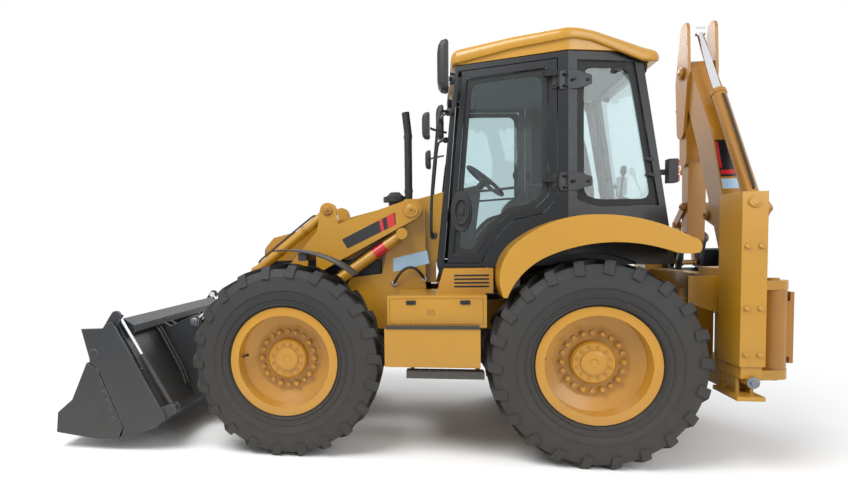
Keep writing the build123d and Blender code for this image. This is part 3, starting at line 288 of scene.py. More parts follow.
glass = see_through("tinted toughened glass", "#d3e2e4")
lens_clear = see_through("clear lamp lens", "#f2f4f5", 0.08)
lens_amber = coated("amber polycarbonate lens", "#e8811a", "#d9731a", 0.15, 6, 0.3, coat=0.6,
                    dust=0, edge_mm=1)
lens_red = coated("red polycarbonate lens", "#b3161c", "#a01218", 0.15, 6, 0.3, coat=0.6, dust=0,
                  edge_mm=1)
silver = coated("vacuum-silvered reflector", "#d8dadd", "#cfd2d6", 0.1, 20, 0.0, dust=0,
                metallic=1.0, edge_mm=0.5)

cloth, tree, shader = new_finish("woven polyester seat cloth")
place = add_node(tree, "TexCoord").outputs["Object"]
threads = [add_node(tree, "TexWave", {"Vector": place, "Scale": WAVE / THREAD, "Distortion": 0.6},
                    bands_direction=way).outputs["Fac"] for way in ("Y", "Z")]
weave = product(tree, *threads)
bump = add_node(tree, "Bump", {"Height": weave, "Strength": 0.5, "Distance": 0.001})
set_inputs(tree, shader, {"Base Color": blend(tree, weave, linear("#1d2022"), linear("#3a3f43")),
                          "Roughness": 0.9, "Sheen Weight": 0.3, "Normal": bump.outputs[0]})

# %% [markdown]
# ## Dress the solid nodes
# Most nodes are already the right shape, so they only need their finish.

# %% Finishes of the nodes
dress = {
    tyre_rubber: [n for n in nodes if n.startswith("tyre_")],
    rim_yellow: [n for n in nodes if n.startswith("rim_")],
    yellow: ["chassis", "cab_roof", "rear_fenders", "side_boxes", "cowl", "bonnet", "loader_arms",
             "lift_barrels", "tilt_barrels", "hoe_frame", "stabiliser_left", "stabiliser_right", "carriage"],
    # the backhoe's parts take the darker yellow, painted shade for their shaded side
    shaded_yellow: ["kingpost", "boom", "dipper", "bucket_rocker", "bucket_link", "boom_cylinder_barrel",
                 "dipper_cylinder_barrel", "hoe_bucket_cylinder_barrel"],
    axle_black: ["front_axle", "rear_axle", "gearbox", "knuckle_left", "knuckle_right"],
    cab_black: ["cab_frame", "door_left", "door_right", "nose_grille"],
    bucket_grey: ["loader_bucket", "bucket_clam", "clam_barrels", "hoe_bucket"],
    cast: ["engine_block"],
    chrome: [n for n in nodes if n.endswith("_rod") or n.endswith("_rods")],
    glass: ["cab_glass", "door_glass_left", "door_glass_right"],
    cloth: ["seat"],
    black_plastic: ["seat_base", "dash", "air_precleaner", "mirrors"],
    stack_black: ["exhaust_stack"],
}
for finish, names in dress.items():
    for name in names:
        slots = nodes[name].data.materials
        if len(slots):
            for index in range(len(slots)):
                slots[index] = finish
        else:
            slots.append(finish)
print("left bare:", sorted(set(nodes) - {n for names in dress.values() for n in names}))

# %% [markdown]
# ## Plates, turned parts and bolts
# Fittings are cut from plate, turned on a lathe, bent from tube or screwed on. So there is one
# function for each: a plate is an outline with a thickness, a turned part is a profile spun about
# an axis, and a bolt is a six-sided head on a washer. They add to one mesh, which then becomes a
# piece. Where it shows, the edges are slightly broken, as a real piece's are.

# %% Shaping functions
def spot(axis, level, a, b):
    """A point from its place along an axis and the two other coordinates in order."""
    return Vector({"x": (level, a, b), "y": (a, level, b), "z": (a, b, level)}[axis])


def plate(shape, outline, axis, low, high):
    """Add a plate: an outline across an axis, between two levels of it."""
    rings = [[shape.verts.new(spot(axis, level, *p)) for p in outline] for level in (low, high)]
    skin(shape, rings, True)


def skin(shape, rings, ends):
    """Add faces between rings of points, and close the first and last if asked."""
    count = len(rings[0])
    for one, two in zip(rings, rings[1:]):
        for i in range(count):
            shape.faces.new((one[i], one[(i + 1) % count], two[(i + 1) % count], two[i]))
    if ends:
        shape.faces.new(list(reversed(rings[0])))
        shape.faces.new(rings[-1])


def turned(shape, centre, direction, profile, steps=28, ends=True):
    """Add a turned part: (distance along, radius) pairs spun about a line."""
    turn = Vector(direction).to_track_quat("Z", "Y").to_matrix()
    rings = []
    for reach, radius in profile:
        rings.append([shape.verts.new(Vector(centre) + turn @ Vector((
            radius * cos(2 * pi * i / steps), radius * sin(2 * pi * i / steps), reach)))
            for i in range(steps)])
    if ends:
        skin(shape, rings, True)
    else:
        skin(shape, rings + rings[:1], False)


def bolt(shape, centre, direction, across):
    """Add a hexagon head on its washer."""
    half = across / 2
    washer, head = half * 1.35, half * 1.12
    turned(shape, centre, direction, [(-0.002, washer), (0.002, washer)], 14)
    turned(shape, centre, direction, [(0.001, head), (half, head), (half * 1.25, half * 0.85)], 6)


def band(shape, centre, direction, inner, outer, length, steps=28):
    """Add a band round a rod, barrel or pipe."""
    profile = [(0.0, inner), (0.0, outer), (length, outer), (length, inner)]
    turned(shape, centre, direction, profile, steps, ends=False)


def corners(a0, a1, b0, b1):
    """The four corners of a rectangle."""
    return [(a0, b0), (a1, b0), (a1, b1), (a0, b1)]


def block(shape, low, high):
    """Add a block between two corners."""
    plate(shape, corners(low[0], high[0], low[1], high[1]), "z", low[2], high[2])


def side_block(shape, side, r, y, z):
    """Add a block on one side of the machine: its ranges ahead of the axle, outwards and up."""
    near, far = sorted((side * y[0], side * y[1]))
    block(shape, (along(r[0]), near, z[0]), (along(r[1]), far, z[1]))


def rounded(outline, radius, steps=5):
    """An outline with its corners rounded off by arcs of about that radius."""
    made = []
    for i, corner in enumerate(outline):
        here = Vector(corner)
        ends = []
        for other in (outline[i - 1], outline[(i + 1) % len(outline)]):
            way = Vector(other) - here
            ends.append(here + way.normalized() * min(radius, way.length * 0.45))
        for k in range(steps + 1):
            share = k / steps
            made.append(tuple(ends[0] * (1 - share) ** 2 + here * 2 * share * (1 - share)
                              + ends[1] * share ** 2))
    return made


def upright(shape, points, low, high, radius=0.0):
    """Add a plate that stands along the machine, from side view points, between two places across."""
    outline = side_view(points)
    plate(shape, rounded(outline, radius) if radius else outline, "y", low, high)


def inset(outline, distance):
    """An outline moved inwards, whichever way round it runs."""
    area = sum(a[0] * b[1] - b[0] * a[1] for a, b in zip(outline, outline[1:] + outline[:1]))
    way = 1 if area > 0 else -1
    lines = []
    for a, b in zip(outline, outline[1:] + outline[:1]):
        run = (Vector(b) - Vector(a)).normalized()
        lines.append((Vector(a) + Vector((-run.y, run.x)) * distance * way, run))
    made = []
    for (p, d), (q, e) in zip(lines[-1:] + lines[:-1], lines):
        cross = d.x * e.y - d.y * e.x
        reach = ((q - p).x * e.y - (q - p).y * e.x) / cross
        made.append(tuple(p + d * reach))
    return made


# how far a plain fitting's edges are broken
BROKEN = 0.0015


def piece(name, shape, finish, body="machine", edge=0.0, replaced=()):
    """Turn a mesh into a piece that rides on a body, its edges broken if asked."""
    bmesh.ops.recalc_face_normals(shape, faces=shape.faces)
    mesh = bpy.data.meshes.new(name)
    shape.to_mesh(mesh)
    shape.free()
    mesh.materials.append(finish)
    mesh.shade_smooth()
    made = bpy.data.objects.new(name, mesh)
    bpy.context.scene.collection.objects.link(made)
    if edge:
        broken = made.modifiers.new("edges", "BEVEL")
        broken.width = edge
        broken.segments = 2
        broken.limit_method = "ANGLE"
        broken.angle_limit = radians(40)
        broken.harden_normals = True
    else:
        mesh.set_sharp_from_angle(angle=radians(35))
    if replaced:
        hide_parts(*replaced)
    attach(made, body)
    return made


def bent_tube(name, points, radius, finish, body="machine"):
    """A bent tube or rail: a smooth line through its points, with a round section."""
    line = bpy.data.curves.new(name, "CURVE")
    line.dimensions = "3D"
    line.bevel_depth = radius
    line.bevel_resolution = 3
    line.use_fill_caps = True
    run = line.splines.new("NURBS")
    run.points.add(len(points) - 1)
    for place, point in zip(run.points, points):
        place.co = (*point, 1.0)
    run.order_u = 3
    run.use_endpoint_u = True
    run.resolution_u = 6
    line.materials.append(finish)
    made = bpy.data.objects.new(name, line)
    bpy.context.scene.collection.objects.link(made)
    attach(made, body)


# %% [markdown]
# ## Wheels
# Each rim is bolted to its hub with ten nuts and has a valve; the planetary hub's cover has its
# own ring of screws. A moulded tyre has raised rings on its side wall where the mould halves and
# the rim protector meet.

# %% Wheel details
wheel_y = 0.955
axle_z = 0.715
wheelbase = 2.17
HUB_FACE = 0.065
HUB_CAP = [(0.0, 0.086), (0.012, 0.086), (0.016, 0.078), (0.016, 0.03), (0.012, 0.028)]
VALVE = [(0.0, 0.009), (0.02, 0.009), (0.022, 0.005), (0.06, 0.005), (0.06, 0.007), (0.075, 0.007)]


def bolt_circle(shape, centre, side, count, circle, reach, across, first=0.0):
    """Add bolts on a circle round a wheel's axis; the first may start part of a step on."""
    for i in range(count):
        angle = 2 * pi * (i + first) / count
        at = centre + Vector((circle * cos(angle), side * reach, circle * sin(angle)))
        bolt(shape, at, (0, side, 0), across)


for end, r in (("front", wheelbase), ("rear", 0.0)):
    for name, side in SIDES:
        centre = Vector((along(r), side * wheel_y, axle_z))
        out = (0, side, 0)
        body = f"wheel_{end}_{name}"
        shape = bmesh.new()
        bolt_circle(shape, centre, side, 10, 0.205, 0.028, 0.034)
        bolt_circle(shape, centre, side, 12, 0.112, HUB_FACE, 0.016, 0.5)
        turned(shape, centre + Vector((0, side * HUB_FACE, 0)), out, HUB_CAP)
        piece(f"wheel_nuts_{end}_{name}", shape, rim_yellow, body)
        shape = bmesh.new()
        for radius, tall in ((0.425, 0.006), (0.470, 0.004), (0.530, 0.004)):
            # how far out the side wall lies at this radius
            face = 0.2085 + (radius - 0.415) * 0.047
            turned(shape, centre, out, [(face - 0.004, radius - 0.008), (face + tall, radius - 0.003),
                                        (face + tall, radius + 0.003), (face - 0.004, radius + 0.008)],
                   72, ends=False)
        piece(f"tyre_rings_{end}_{name}", shape, tyre_rubber, body)
        shape = bmesh.new()
        turned(shape, centre + Vector((0.315, side * 0.035, 0.02)), (0.25, side, 0), VALVE, 12)
        piece(f"valve_{end}_{name}", shape, soft_black, body)
print("4 wheels with nuts, side wall rings and valves")

# %% [markdown]
# ## Roof
# The roof is one pressed steel shell. It is widest and highest over the door posts and falls to
# a lip behind the cab. So it is drawn as sections across the machine: a crowned top, a rounded
# shoulder and a skirt that hangs round the cab's top.

# %% Roof shell
# tables of half width, hem height and top height along the roof
REAR_LIP, FRONT_LIP = -0.525, 0.935
ROOF_PLAN = ((REAR_LIP, 0.640), (POST_R, 0.893), (FRONT_LIP, 0.668))
ROOF_LOW = ((-0.600, 2.834), (-0.400, 2.826), (-0.020, 2.958), (0.100, 2.970), (0.510, 2.952),
            (0.880, 2.906), (1.000, 2.902))
ROOF_TOP = ((-0.600, 2.903), (-0.530, 2.925), (-0.305, 2.990), (0.000, 3.070), (0.110, 3.083),
            (0.510, 3.077), (0.880, 3.054), (1.000, 3.030))
# the shoulder (in from the edge, down from the top), the hem (in from the edge, up) and how far
# in from its ends the roof is drawn in
SHOULDER = ((0.085, 0.026), (0.040, 0.038), (0.014, 0.056), (0.002, 0.078), (0.0, 0.095))
HEM = ((0.0, 0.016), (0.005, 0.004), (0.013, 0.0), (0.027, 0.0))
LIP = 0.04


def read_off(table, r):
    """The value at r in a table of (r, value), straight between its rows."""
    for (a, low), (b, high) in zip(table, table[1:]):
        if r <= b:
            return mix(low, high, (r - a) / (b - a))
    return table[-1][1]


shape = bmesh.new()
rings = []
stations = [REAR_LIP, -0.519, -0.508, -0.49] + [-0.45 + 0.06 * i for i in range(22)]
stations += [0.86, 0.895, 0.915, 0.929, FRONT_LIP]
for r in stations:
    draw = LIP * max(0.0, 1 - min(r - REAR_LIP, FRONT_LIP - r) / LIP) ** 2
    half = read_off(ROOF_PLAN, r) - draw
    top = read_off(ROOF_TOP, r) - draw
    low = read_off(ROOF_LOW, r) + draw * 0.3
    soft = min(1.0, (top - low) / 0.15)
    # over the cab the underside lies just above the cab's top, beyond it level with the hem
    inner = 2.896 if -0.41 < r < 0.89 else low
    profile = [(half * 0.45, top - 0.004), (half * 0.75, top - 0.014)]
    profile += [(half - inwards, top - drop * soft) for inwards, drop in SHOULDER]
    profile += [(half - inwards, low + lift) for inwards, lift in HEM]
    profile += [(half - 0.029, inner)]
    section = [(0.0, top)] + profile + [(0.0, inner)] + [(-y, z) for y, z in reversed(profile)]
    rings.append([shape.verts.new((along(r), y, z)) for y, z in section])
skin(shape, rings, True)
piece("roof_shell", shape, yellow, replaced=["cab_roof"])
print("roof shell of", len(rings), "sections")

# %% [markdown]
# ## Cab side: borders, hinges, handles
# Each pane is bonded behind a black printed border with rounded corners. The door hangs on the
# post behind it, on two pairs of hinge plates. It has an oval latch plate with a ring handle, and
# a grab rail inside. The quarter window behind the post is held by three small latches.

# %% Cab side pieces
DOOR_PANE = [(0.932, 1.470), (0.822, 2.790), (0.265, 2.790), (0.265, 1.890), (0.345, 1.806),
             (0.530, 1.768), (0.605, 1.702), (0.662, 1.628), (0.714, 1.550), (0.758, 1.470)]
QUARTER_PANE = [(0.075, 1.850), (0.075, 2.830), (-0.345, 2.830), (-0.510, 1.800), (-0.060, 1.800)]
BORDER = (-0.0195, -0.016)
HINGE_Z = (2.69, 1.98)
LATCH = (0.872, 1.80)


def side_ring(shape, side, outer, inner, low, high):
    """Add a flat ring that follows the cab's side, between two outlines."""
    rings = []
    for outline, out in ((outer, low), (outer, high), (inner, high), (inner, low)):
        rings.append([shape.verts.new(on_skin(side, r, z, out)) for r, z in outline])
    skin(shape, rings + rings[:1], False)


def side_plate(shape, side, outline, low, high):
    """Add a plate that follows the cab's side."""
    skin(shape, [[shape.verts.new(on_skin(side, r, z, out)) for r, z in outline]
                 for out in (low, high)], True)


def oval(r, z, wide, tall, steps=24):
    """An oval outline in the side view."""
    angles = [2 * pi * i / steps for i in range(steps)]
    return [(r + wide * cos(angle), z + tall * sin(angle)) for angle in angles]


def on_skin(side, r, z, out):
    """A point off the cab's skin, at one spot of its side."""
    return along(r), side * cab_side(r, z, out), z


for name, side in SIDES:
    door, out = f"door_{name}", (0, side, 0)
    for title, pane, wide, body in (("door", DOOR_PANE, 0.042, door),
                                    ("quarter", QUARTER_PANE, 0.05, "machine")):
        shape = bmesh.new()
        side_ring(shape, side, rounded(inset(pane, 0.002), 0.03), rounded(inset(pane, wide), 0.07),
                  *BORDER)
        piece(f"{title}_pane_border_{name}", shape, soft_black, body)
    shape = bmesh.new()
    for z in HINGE_Z:
        side_plate(shape, side, rounded([(0.245, z + 0.055), (0.245, z - 0.055), (0.212, z - 0.055),
                                         (0.212, z + 0.055)], 0.012), 0.001, 0.012)
        for lift in (-0.03, 0.03):
            bolt(shape, on_skin(side, 0.229, z + lift, 0.013), out, 0.018)
    piece(f"door_hinge_leaves_{name}", shape, black_plastic, door, edge=BROKEN)
    shape = bmesh.new()
    for z in HINGE_Z:
        side_plate(shape, side, rounded([(0.198, z + 0.065), (0.198, z - 0.065), (0.075, z - 0.065),
                                         (-0.03, z - 0.03), (-0.03, z + 0.03), (0.075, z + 0.065)], 0.014),
                   0.001, 0.014)
        for r, lift in ((0.16, -0.04), (0.16, 0.04), (0.10, 0.0), (0.0, 0.0)):
            bolt(shape, on_skin(side, r, z + lift, 0.015), out, 0.018)
        turned(shape, (along(0.205), side * cab_side(0.205, z, 0.016), z - 0.05), (0, 0, 1),
               [(0.0, 0.009), (0.1, 0.009)], 14)
    piece(f"post_hinge_plates_{name}", shape, cab_black, edge=BROKEN)
    shape = bmesh.new()
    side_plate(shape, side, oval(*LATCH, 0.075, 0.155), -0.0195, 0.004)
    side_ring(shape, side, oval(*LATCH, 0.058, 0.10), oval(*LATCH, 0.044, 0.084), 0.004, 0.028)
    side_plate(shape, side, oval(*LATCH, 0.02, 0.028), 0.004, 0.02)
    piece(f"door_latch_{name}", shape, black_plastic, door, edge=BROKEN)
    rail = [on_skin(side, *p) for p in (
        (0.90, 1.955, -0.07), (0.88, 1.955, -0.10), (0.70, 1.95, -0.12), (0.40, 1.97, -0.12),
        (0.27, 1.975, -0.10), (0.25, 1.975, -0.07))]
    bent_tube(f"door_grab_rail_{name}", rail, 0.010, cab_black, door)
    shape = bmesh.new()
    for r, z in ((-0.205, 2.765), (-0.435, 2.13), (-0.445, 2.02)):
        at = on_skin(side, r, z, -0.022)
        handle = at[1] + side * 0.012
        turned(shape, at, out, [(0.0, 0.02), (0.01, 0.02), (0.014, 0.012), (0.03, 0.012), (0.034, 0.006)], 16)
        upright(shape, corners(r - 0.04, r + 0.03, z - 0.012, z + 0.012),
                handle - 0.004, handle + 0.004, 0.01)
    piece(f"quarter_latches_{name}", shape, black_plastic, edge=BROKEN)
print("cab sides dressed")

# %% [markdown]
# ## Mirrors, lamps and rails
# Mirror heads are blow-moulded shells on bent tube arms. A head is drawn as a stack of rounded
# outlines, and its glass as a thin plate on the back. The work lamps are round cans with a
# silvered bowl behind a clear lens.

# %% Mirrors and hand rails
# heads: centre ahead, outwards and up; half width and half height of the shell; its depth
BIG_HEAD = ((0.965, 1.060, 2.785), 0.095, 0.175, 0.075)
SMALL_HEAD = ((1.095, 0.955, 2.405), 0.050, 0.095, 0.055)
FOOT_CAP = [(-0.012, 0.028), (0.004, 0.028), (0.01, 0.018)]
# how far along its depth each outline of a shell lies, and its share of the full size
SWELL = ((0.0, 0.94), (0.2, 1.0), (0.65, 0.95), (0.9, 0.8), (1.0, 0.55))


def head(shape, centre, half_wide, half_tall, deep):
    """Add a shell: rounded outlines across the machine's length, smaller towards its front."""
    x, y, z = centre
    rings = []
    for depth, share in SWELL:
        wide, tall = half_wide * share, half_tall * share
        outline = rounded(corners(y - wide, y + wide, z - tall, z + tall), half_wide * 0.5, 4)
        rings.append([shape.verts.new((x + deep * depth, *p)) for p in outline])
    skin(shape, rings, True)


shape = bmesh.new()
for side in (1, -1):
    for (r, y, z), wide, tall, deep in (BIG_HEAD, SMALL_HEAD):
        head(shape, (along(r), side * y, z), wide, tall, deep)
    turned(shape, (along(1.012), side * 1.055, 2.80), (0, 0, 1), [(-0.05, 0.016), (0.05, 0.016)], 16)
    for r, y, z in ((0.925, 0.640, 2.80), (1.075, 0.700, 1.62), (0.952, 0.668, 2.55)):
        turned(shape, (along(r), side * (y + 0.012), z), (0.25, side, 0), FOOT_CAP, 18)
piece("mirror_heads", shape, black_plastic, replaced=["mirrors"])
shape = bmesh.new()
for side in (1, -1):
    for (r, y, z), wide, tall in ((BIG_HEAD[0], 0.082, 0.160), (SMALL_HEAD[0], 0.041, 0.082)):
        outline = rounded(corners(side * y - wide, side * y + wide, z - tall, z + tall), 0.03, 4)
        plate(shape, outline, "x", along(r) - 0.003, along(r) + 0.001)
piece("mirror_glasses", shape, silver)
RAILS = (("mirror_arm", 0.012, [(0.915, 0.635, 2.80), (0.955, 0.66, 2.80), (1.005, 0.90, 2.80),
                                (1.012, 1.055, 2.80)]),
         ("lamp_arm", 0.009, [(0.975, 0.66, 2.40), (1.02, 0.72, 2.40), (1.10, 0.86, 2.405),
                              (1.115, 0.955, 2.405)]),
         ("hand_rail", 0.011, [(0.952, 0.672, 2.55), (0.99, 0.72, 2.55), (1.028, 0.775, 2.54),
                               (1.05, 0.79, 2.30), (1.085, 0.79, 1.95), (1.095, 0.79, 1.66),
                               (1.085, 0.74, 1.615), (1.075, 0.70, 1.62)]))
for name, side in SIDES:
    for title, radius, points in RAILS:
        bent_tube(f"{title}_{name}", on_side(side, points), radius, cab_black)

# %% Work lamps
cans, bowls, lenses = bmesh.new(), bmesh.new(), bmesh.new()
for side in (1, -1):
    for r, y, z, ahead in ((0.905, 0.47, 2.865, 1), (-0.43, 0.50, 2.845, -1)):
        centre = (along(r), side * y, z - 0.02)
        turned(cans, centre, (ahead, 0, 0), [(-0.012, 0.030), (0.0, 0.040), (0.022, 0.046),
                                             (0.034, 0.046), (0.034, 0.040), (0.030, 0.039)], 24)
        turned(bowls, centre, (ahead, 0, 0), [(0.0305, 0.038), (0.0315, 0.038)], 24)
        turned(lenses, centre, (ahead, 0, 0), [(0.0318, 0.0385), (0.036, 0.036), (0.038, 0.02)], 24)
piece("work_lamp_cans", cans, black_plastic)
piece("work_lamp_bowls", bowls, silver)
piece("work_lamp_lenses", lenses, lens_clear)
print("mirrors, rails and lamps")

# %% [markdown]
# ## Inside the cab
# Through the glass one sees a felt headliner, a rubber mat, the seat, a console beside it, two
# behind it and the levers. The seat's cushions are foam under cloth: crowned on top, pulled in at
# the corners and sewn down along two channels.

# %% Seat cushions
# half width, depth and places of the sewn channels, and the base of the bell curve they follow
CHANNEL, SEWN, CHANNELS, BELL = 0.07, 0.014, (-0.42, 0.42), 2.72


def cushion(shape, centre, half, lean, crown):
    """Add a crowned closed pad, sewn down along two channels, leaning back by an angle."""
    start = bmesh.new()
    bmesh.ops.create_cube(start, size=2.0)
    bmesh.ops.subdivide_edges(start, edges=start.edges[:], cuts=15, use_grid_fill=True)
    turn = Matrix.Rotation(radians(lean), 3, "Y")
    made = {}
    for v in start.verts:
        u = Vector(v.co)
        u /= sum(abs(c) ** 5 for c in u) ** 0.2
        pull = 1 - 0.045 * (u.x * u.y) ** 2
        lift = crown * (1 - u.x ** 2) * (1 - u.y ** 2) * max(0.0, u.z)
        lift -= SEWN * sum(BELL ** -(((u.y - c) / CHANNEL) ** 2) for c in CHANNELS) * max(0.0, u.z)
        at = Vector((u.x * half[0] * pull, u.y * half[1] * pull, u.z * half[2] + lift))
        made[v] = shape.verts.new(Vector(centre) + turn @ at)
    for f in start.faces:
        shape.faces.new([made[v] for v in f.verts])
    start.free()


shape = bmesh.new()
cushion(shape, (along(0.145), 0, 1.818), (0.235, 0.236, 0.050), -3, 0.018)
cushion(shape, (along(-0.118), 0, 2.130), (0.275, 0.230, 0.040), -80, 0.014)
seat_pads = piece("seat_cushions", shape, cloth, replaced=["seat"])
smoother = seat_pads.modifiers.new("smooth", "SUBSURF")
smoother.levels = smoother.render_levels = 1
shape = bmesh.new()
upright(shape, [(-0.02, 1.762), (0.36, 1.762), (0.37, 1.775), (-0.09, 1.775)], -0.225, 0.225, 0.01)
for y in (-0.285, 0.245):
    upright(shape, [(-0.10, 2.035), (0.20, 2.005), (0.20, 2.045), (-0.10, 2.075)], y, y + 0.04, 0.02)
    upright(shape, corners(-0.10, -0.06, 2.00, 2.05), y, y + 0.04)
piece("seat_pan_and_armrests", shape, black_plastic, edge=0.004)
print("seat cushions")

# %% Consoles, mat and headliner
shape = bmesh.new()
liner = [(0.83, 0.585), (0.14, 0.775), (-0.33, 0.565)]
outline = [(along(r), y) for r, y in liner] + [(along(r), -y) for r, y in reversed(liner)]
plate(shape, rounded(outline, 0.08), "z", 2.812, 2.833)
piece("headliner", shape, liner_grey, edge=0.004)
shape = bmesh.new()
plate(shape, rounded(corners(along(-0.35), along(0.74), -0.52, 0.52), 0.05), "z", 1.4105, 1.419)
for i in range(24):
    block(shape, (along(-0.30 + 0.042 * i), -0.50, 1.418), (along(-0.285 + 0.042 * i), 0.50, 1.4215))
piece("rubber_mat", shape, floor_mat)
shape = bmesh.new()
upright(shape, [(-0.28, 1.42), (0.40, 1.42), (0.46, 1.86), (0.38, 1.95), (-0.20, 1.95), (-0.30, 1.90)],
        -0.56, -0.38, 0.04)
for y in (-0.30, 0.16):
    upright(shape, [(-0.46, 1.42), (-0.30, 1.42), (-0.28, 1.80), (-0.34, 1.90), (-0.43, 1.88)],
            y, y + 0.14, 0.03)
piece("consoles", shape, black_plastic, edge=0.006)
LEVER = [(-0.01, 0.024), (0.012, 0.022), (0.02, 0.008), (0.17, 0.007), (0.18, 0.016), (0.20, 0.024),
         (0.235, 0.022), (0.25, 0.010)]
shape = bmesh.new()
for r, y, z, lean in ((0.30, -0.45, 1.95, 0.18), (0.20, -0.50, 1.95, 0.1), (0.12, -0.44, 1.95, 0.0),
                      (-0.37, -0.23, 1.89, -0.1), (-0.37, 0.23, 1.89, -0.1)):
    turned(shape, (along(r), y, z), (lean, 0, 1), LEVER, 16)
piece("control_levers", shape, soft_black)
shape = bmesh.new()
for y in (-0.10, 0.06, 0.16):
    upright(shape, [(0.60, 1.425), (0.72, 1.50), (0.715, 1.515), (0.59, 1.44)], y, y + 0.07, 0.006)
piece("pedals", shape, axle_black, edge=BROKEN)
print("cab fitted out")

# %% [markdown]
# ## Steps, vents and service doors
# The boxes between the wheels are climbed over, so their ledges carry pressed grip plates. The
# sill is vented, and the upper box has a service door with two latches.

# %% Side fittings
GRIP = [(0.0, 0.008), (0.005, 0.005)]
UP = (0, 0, 1)
for name, side in SIDES:
    shape = bmesh.new()
    side_block(shape, side, (0.765, 1.415), (1.048, 1.108), (0.9555, 0.975))
    for i in range(21):
        for across in (1.092, 1.068):
            turned(shape, (along(0.785 + 0.0305 * i), side * across, 0.974), UP, GRIP, 8)
    side_block(shape, side, (0.735, 1.275), (0.998, 1.124), (0.6402, 0.654))
    side_block(shape, side, (0.735, 1.275), (1.1203, 1.128), (0.606, 0.654))
    for i in range(17):
        for across in (1.02, 1.055, 1.09):
            turned(shape, (along(0.76 + 0.0306 * i), side * across, 0.653), UP, GRIP, 8)
    piece(f"step_treads_{name}", shape, axle_black, edge=0.001)
    shape = bmesh.new()
    for i in range(4):
        z = 1.235 + 0.027 * i
        upright(shape, corners(0.68, 0.93, z, z + 0.012), side * 0.8503, side * 0.853, 0.006)
    for r in (0.86, 1.24):
        upright(shape, corners(r - 0.035, r + 0.035, 1.125, 1.155), side * 1.0453, side * 1.052, 0.008)
        turned(shape, (along(r), side * 1.052, 1.14), (0, side, 0),
               [(0.0, 0.010), (0.006, 0.010), (0.008, 0.005)], 14)
    piece(f"vents_and_latches_{name}", shape, soft_black, edge=0.001)
    shape = bmesh.new()
    outer = rounded(corners(along(0.735), along(1.395), 0.985, 1.172), 0.012)
    inner = inset(outer, 0.004)
    rings = [[shape.verts.new((a, side * level, b)) for a, b in outline]
             for outline, level in ((outer, 1.0452), (outer, 1.0472), (inner, 1.0472), (inner, 1.0452))]
    skin(shape, rings + rings[:1], False)
    upright(shape, corners(1.07, 1.125, 1.05, 1.09), side * 1.0453, side * 1.0465, 0.004)
    # the seam takes the darker yellow, painted shade in the door's gap
    piece(f"service_door_seam_{name}", shape, shaded_yellow)
print("steps, vents and latches")

# %% [markdown]
# ## Loader
# The arms' and the bucket's pins have caps with a keeper bolt. Each lift and tilt cylinder ends in
# a screwed gland and has a steel pipe along it. The arms carry a blank dark panel with red bars,
# and the bucket's lip is a bare, scraped wear edge held by bolts.

# %% Pins, glands and pipes
def pin_cap(shape, centre, out, radius):
    """Add a pin's cap with a keeper plate and its bolt."""
    collar = radius * 1.25
    turned(shape, centre, out, [(0.0, collar), (0.006, collar), (0.007, radius), (0.016, radius * 0.96),
                                (0.020, radius * 0.8)], 24)
    bolt(shape, Vector(centre) + Vector(out).normalized() * 0.018, out, 0.018)


def gland(shape, start, end, length, radius):
    """Add the screwed collar at the end of a barrel."""
    way = (Vector(end) - Vector(start)).normalized()
    at = Vector(start) + way * (length - 0.05)
    turned(shape, at, way, [(0.0, radius + 0.001), (0.003, radius + 0.006), (0.044, radius + 0.006),
                            (0.050, radius + 0.001), (0.051, radius * 0.7)], 28)


def feed_pipe(name, start, end, reach, lift, body, radius=0.008):
    """A steel pipe along a cylinder, out of its barrel near the base and in again at the gland."""
    start, end = Vector(start), Vector(end)
    way = (end - start).normalized()
    up = Vector(lift)
    first, last = reach
    points = [start + way * along_it + up * share for along_it, share in (
        (first, 0.75), (first, 1), (first + 0.05, 1.12), (last - 0.05, 1.12), (last, 1), (last, 0.75))]
    bent_tube(name, points, radius, axle_black, body)


# a cylinder's base pin and its rod's eye (ahead of the rear axle, up)
LIFT_BASE, LIFT_EYE = (1.326, 1.646), (2.270, 0.985)
TILT_BASE, TILT_EYE = (1.930, 1.850), (3.110, 0.930)
# how far out an arm's middle lies, its pins' caps and the bucket's
ARM_Y, ARM_CAP_Y, BUCKET_CAP_Y = 0.406, 0.4605, 0.4845


def cylinder_run(base, eye):
    """The direction of a loader cylinder."""
    return Vector((eye[0] - base[0], 0, eye[1] - base[1])).normalized()


def cylinder_pin(side, pin):
    """The middle of a loader cylinder's pin, on one side."""
    return Vector((along(pin[0]), side * ARM_Y, pin[1]))


for body, base, eye, length, radius in (("lift_barrels", LIFT_BASE, LIFT_EYE, 0.700, 0.046),
                                        ("tilt_barrels", TILT_BASE, TILT_EYE, 0.830, 0.040)):
    shape = bmesh.new()
    run = cylinder_run(base, eye)
    over = Vector((-run.z, 0, run.x)) * (radius + 0.008)
    for name, side in SIDES:
        start, end = cylinder_pin(side, base), cylinder_pin(side, eye)
        gland(shape, start, end, length, radius)
        feed_pipe(f"{body}_pipe_{name}", start, end, (0.11, length - 0.09), over, body)
        if body == "tilt_barrels":
            for reach in (0.24, 0.52):
                band(shape, start + run * reach, run, radius, radius + 0.003, 0.03)
    piece(f"{body}_glands", shape, shaded_yellow, body)
shape = bmesh.new()
run = cylinder_run(TILT_BASE, TILT_EYE)
for side in (1, -1):
    turned(shape, cylinder_pin(side, TILT_BASE) + run * 0.832, run,
           [(0.0, 0.0303), (0.0, 0.0306), (0.276, 0.0306), (0.2785, 0.0303)], 32, ends=False)
piece("tilt_inner_sleeves", shape, chrome, "tilt_barrels")
shape = bmesh.new()
run = cylinder_run(LIFT_BASE, LIFT_EYE)
for side in (1, -1):
    band(shape, cylinder_pin(side, LIFT_BASE) + run * 0.17, run, 0.0461, 0.0468, 0.11, 32)
piece("red_bands", shape, red_film, "lift_barrels")

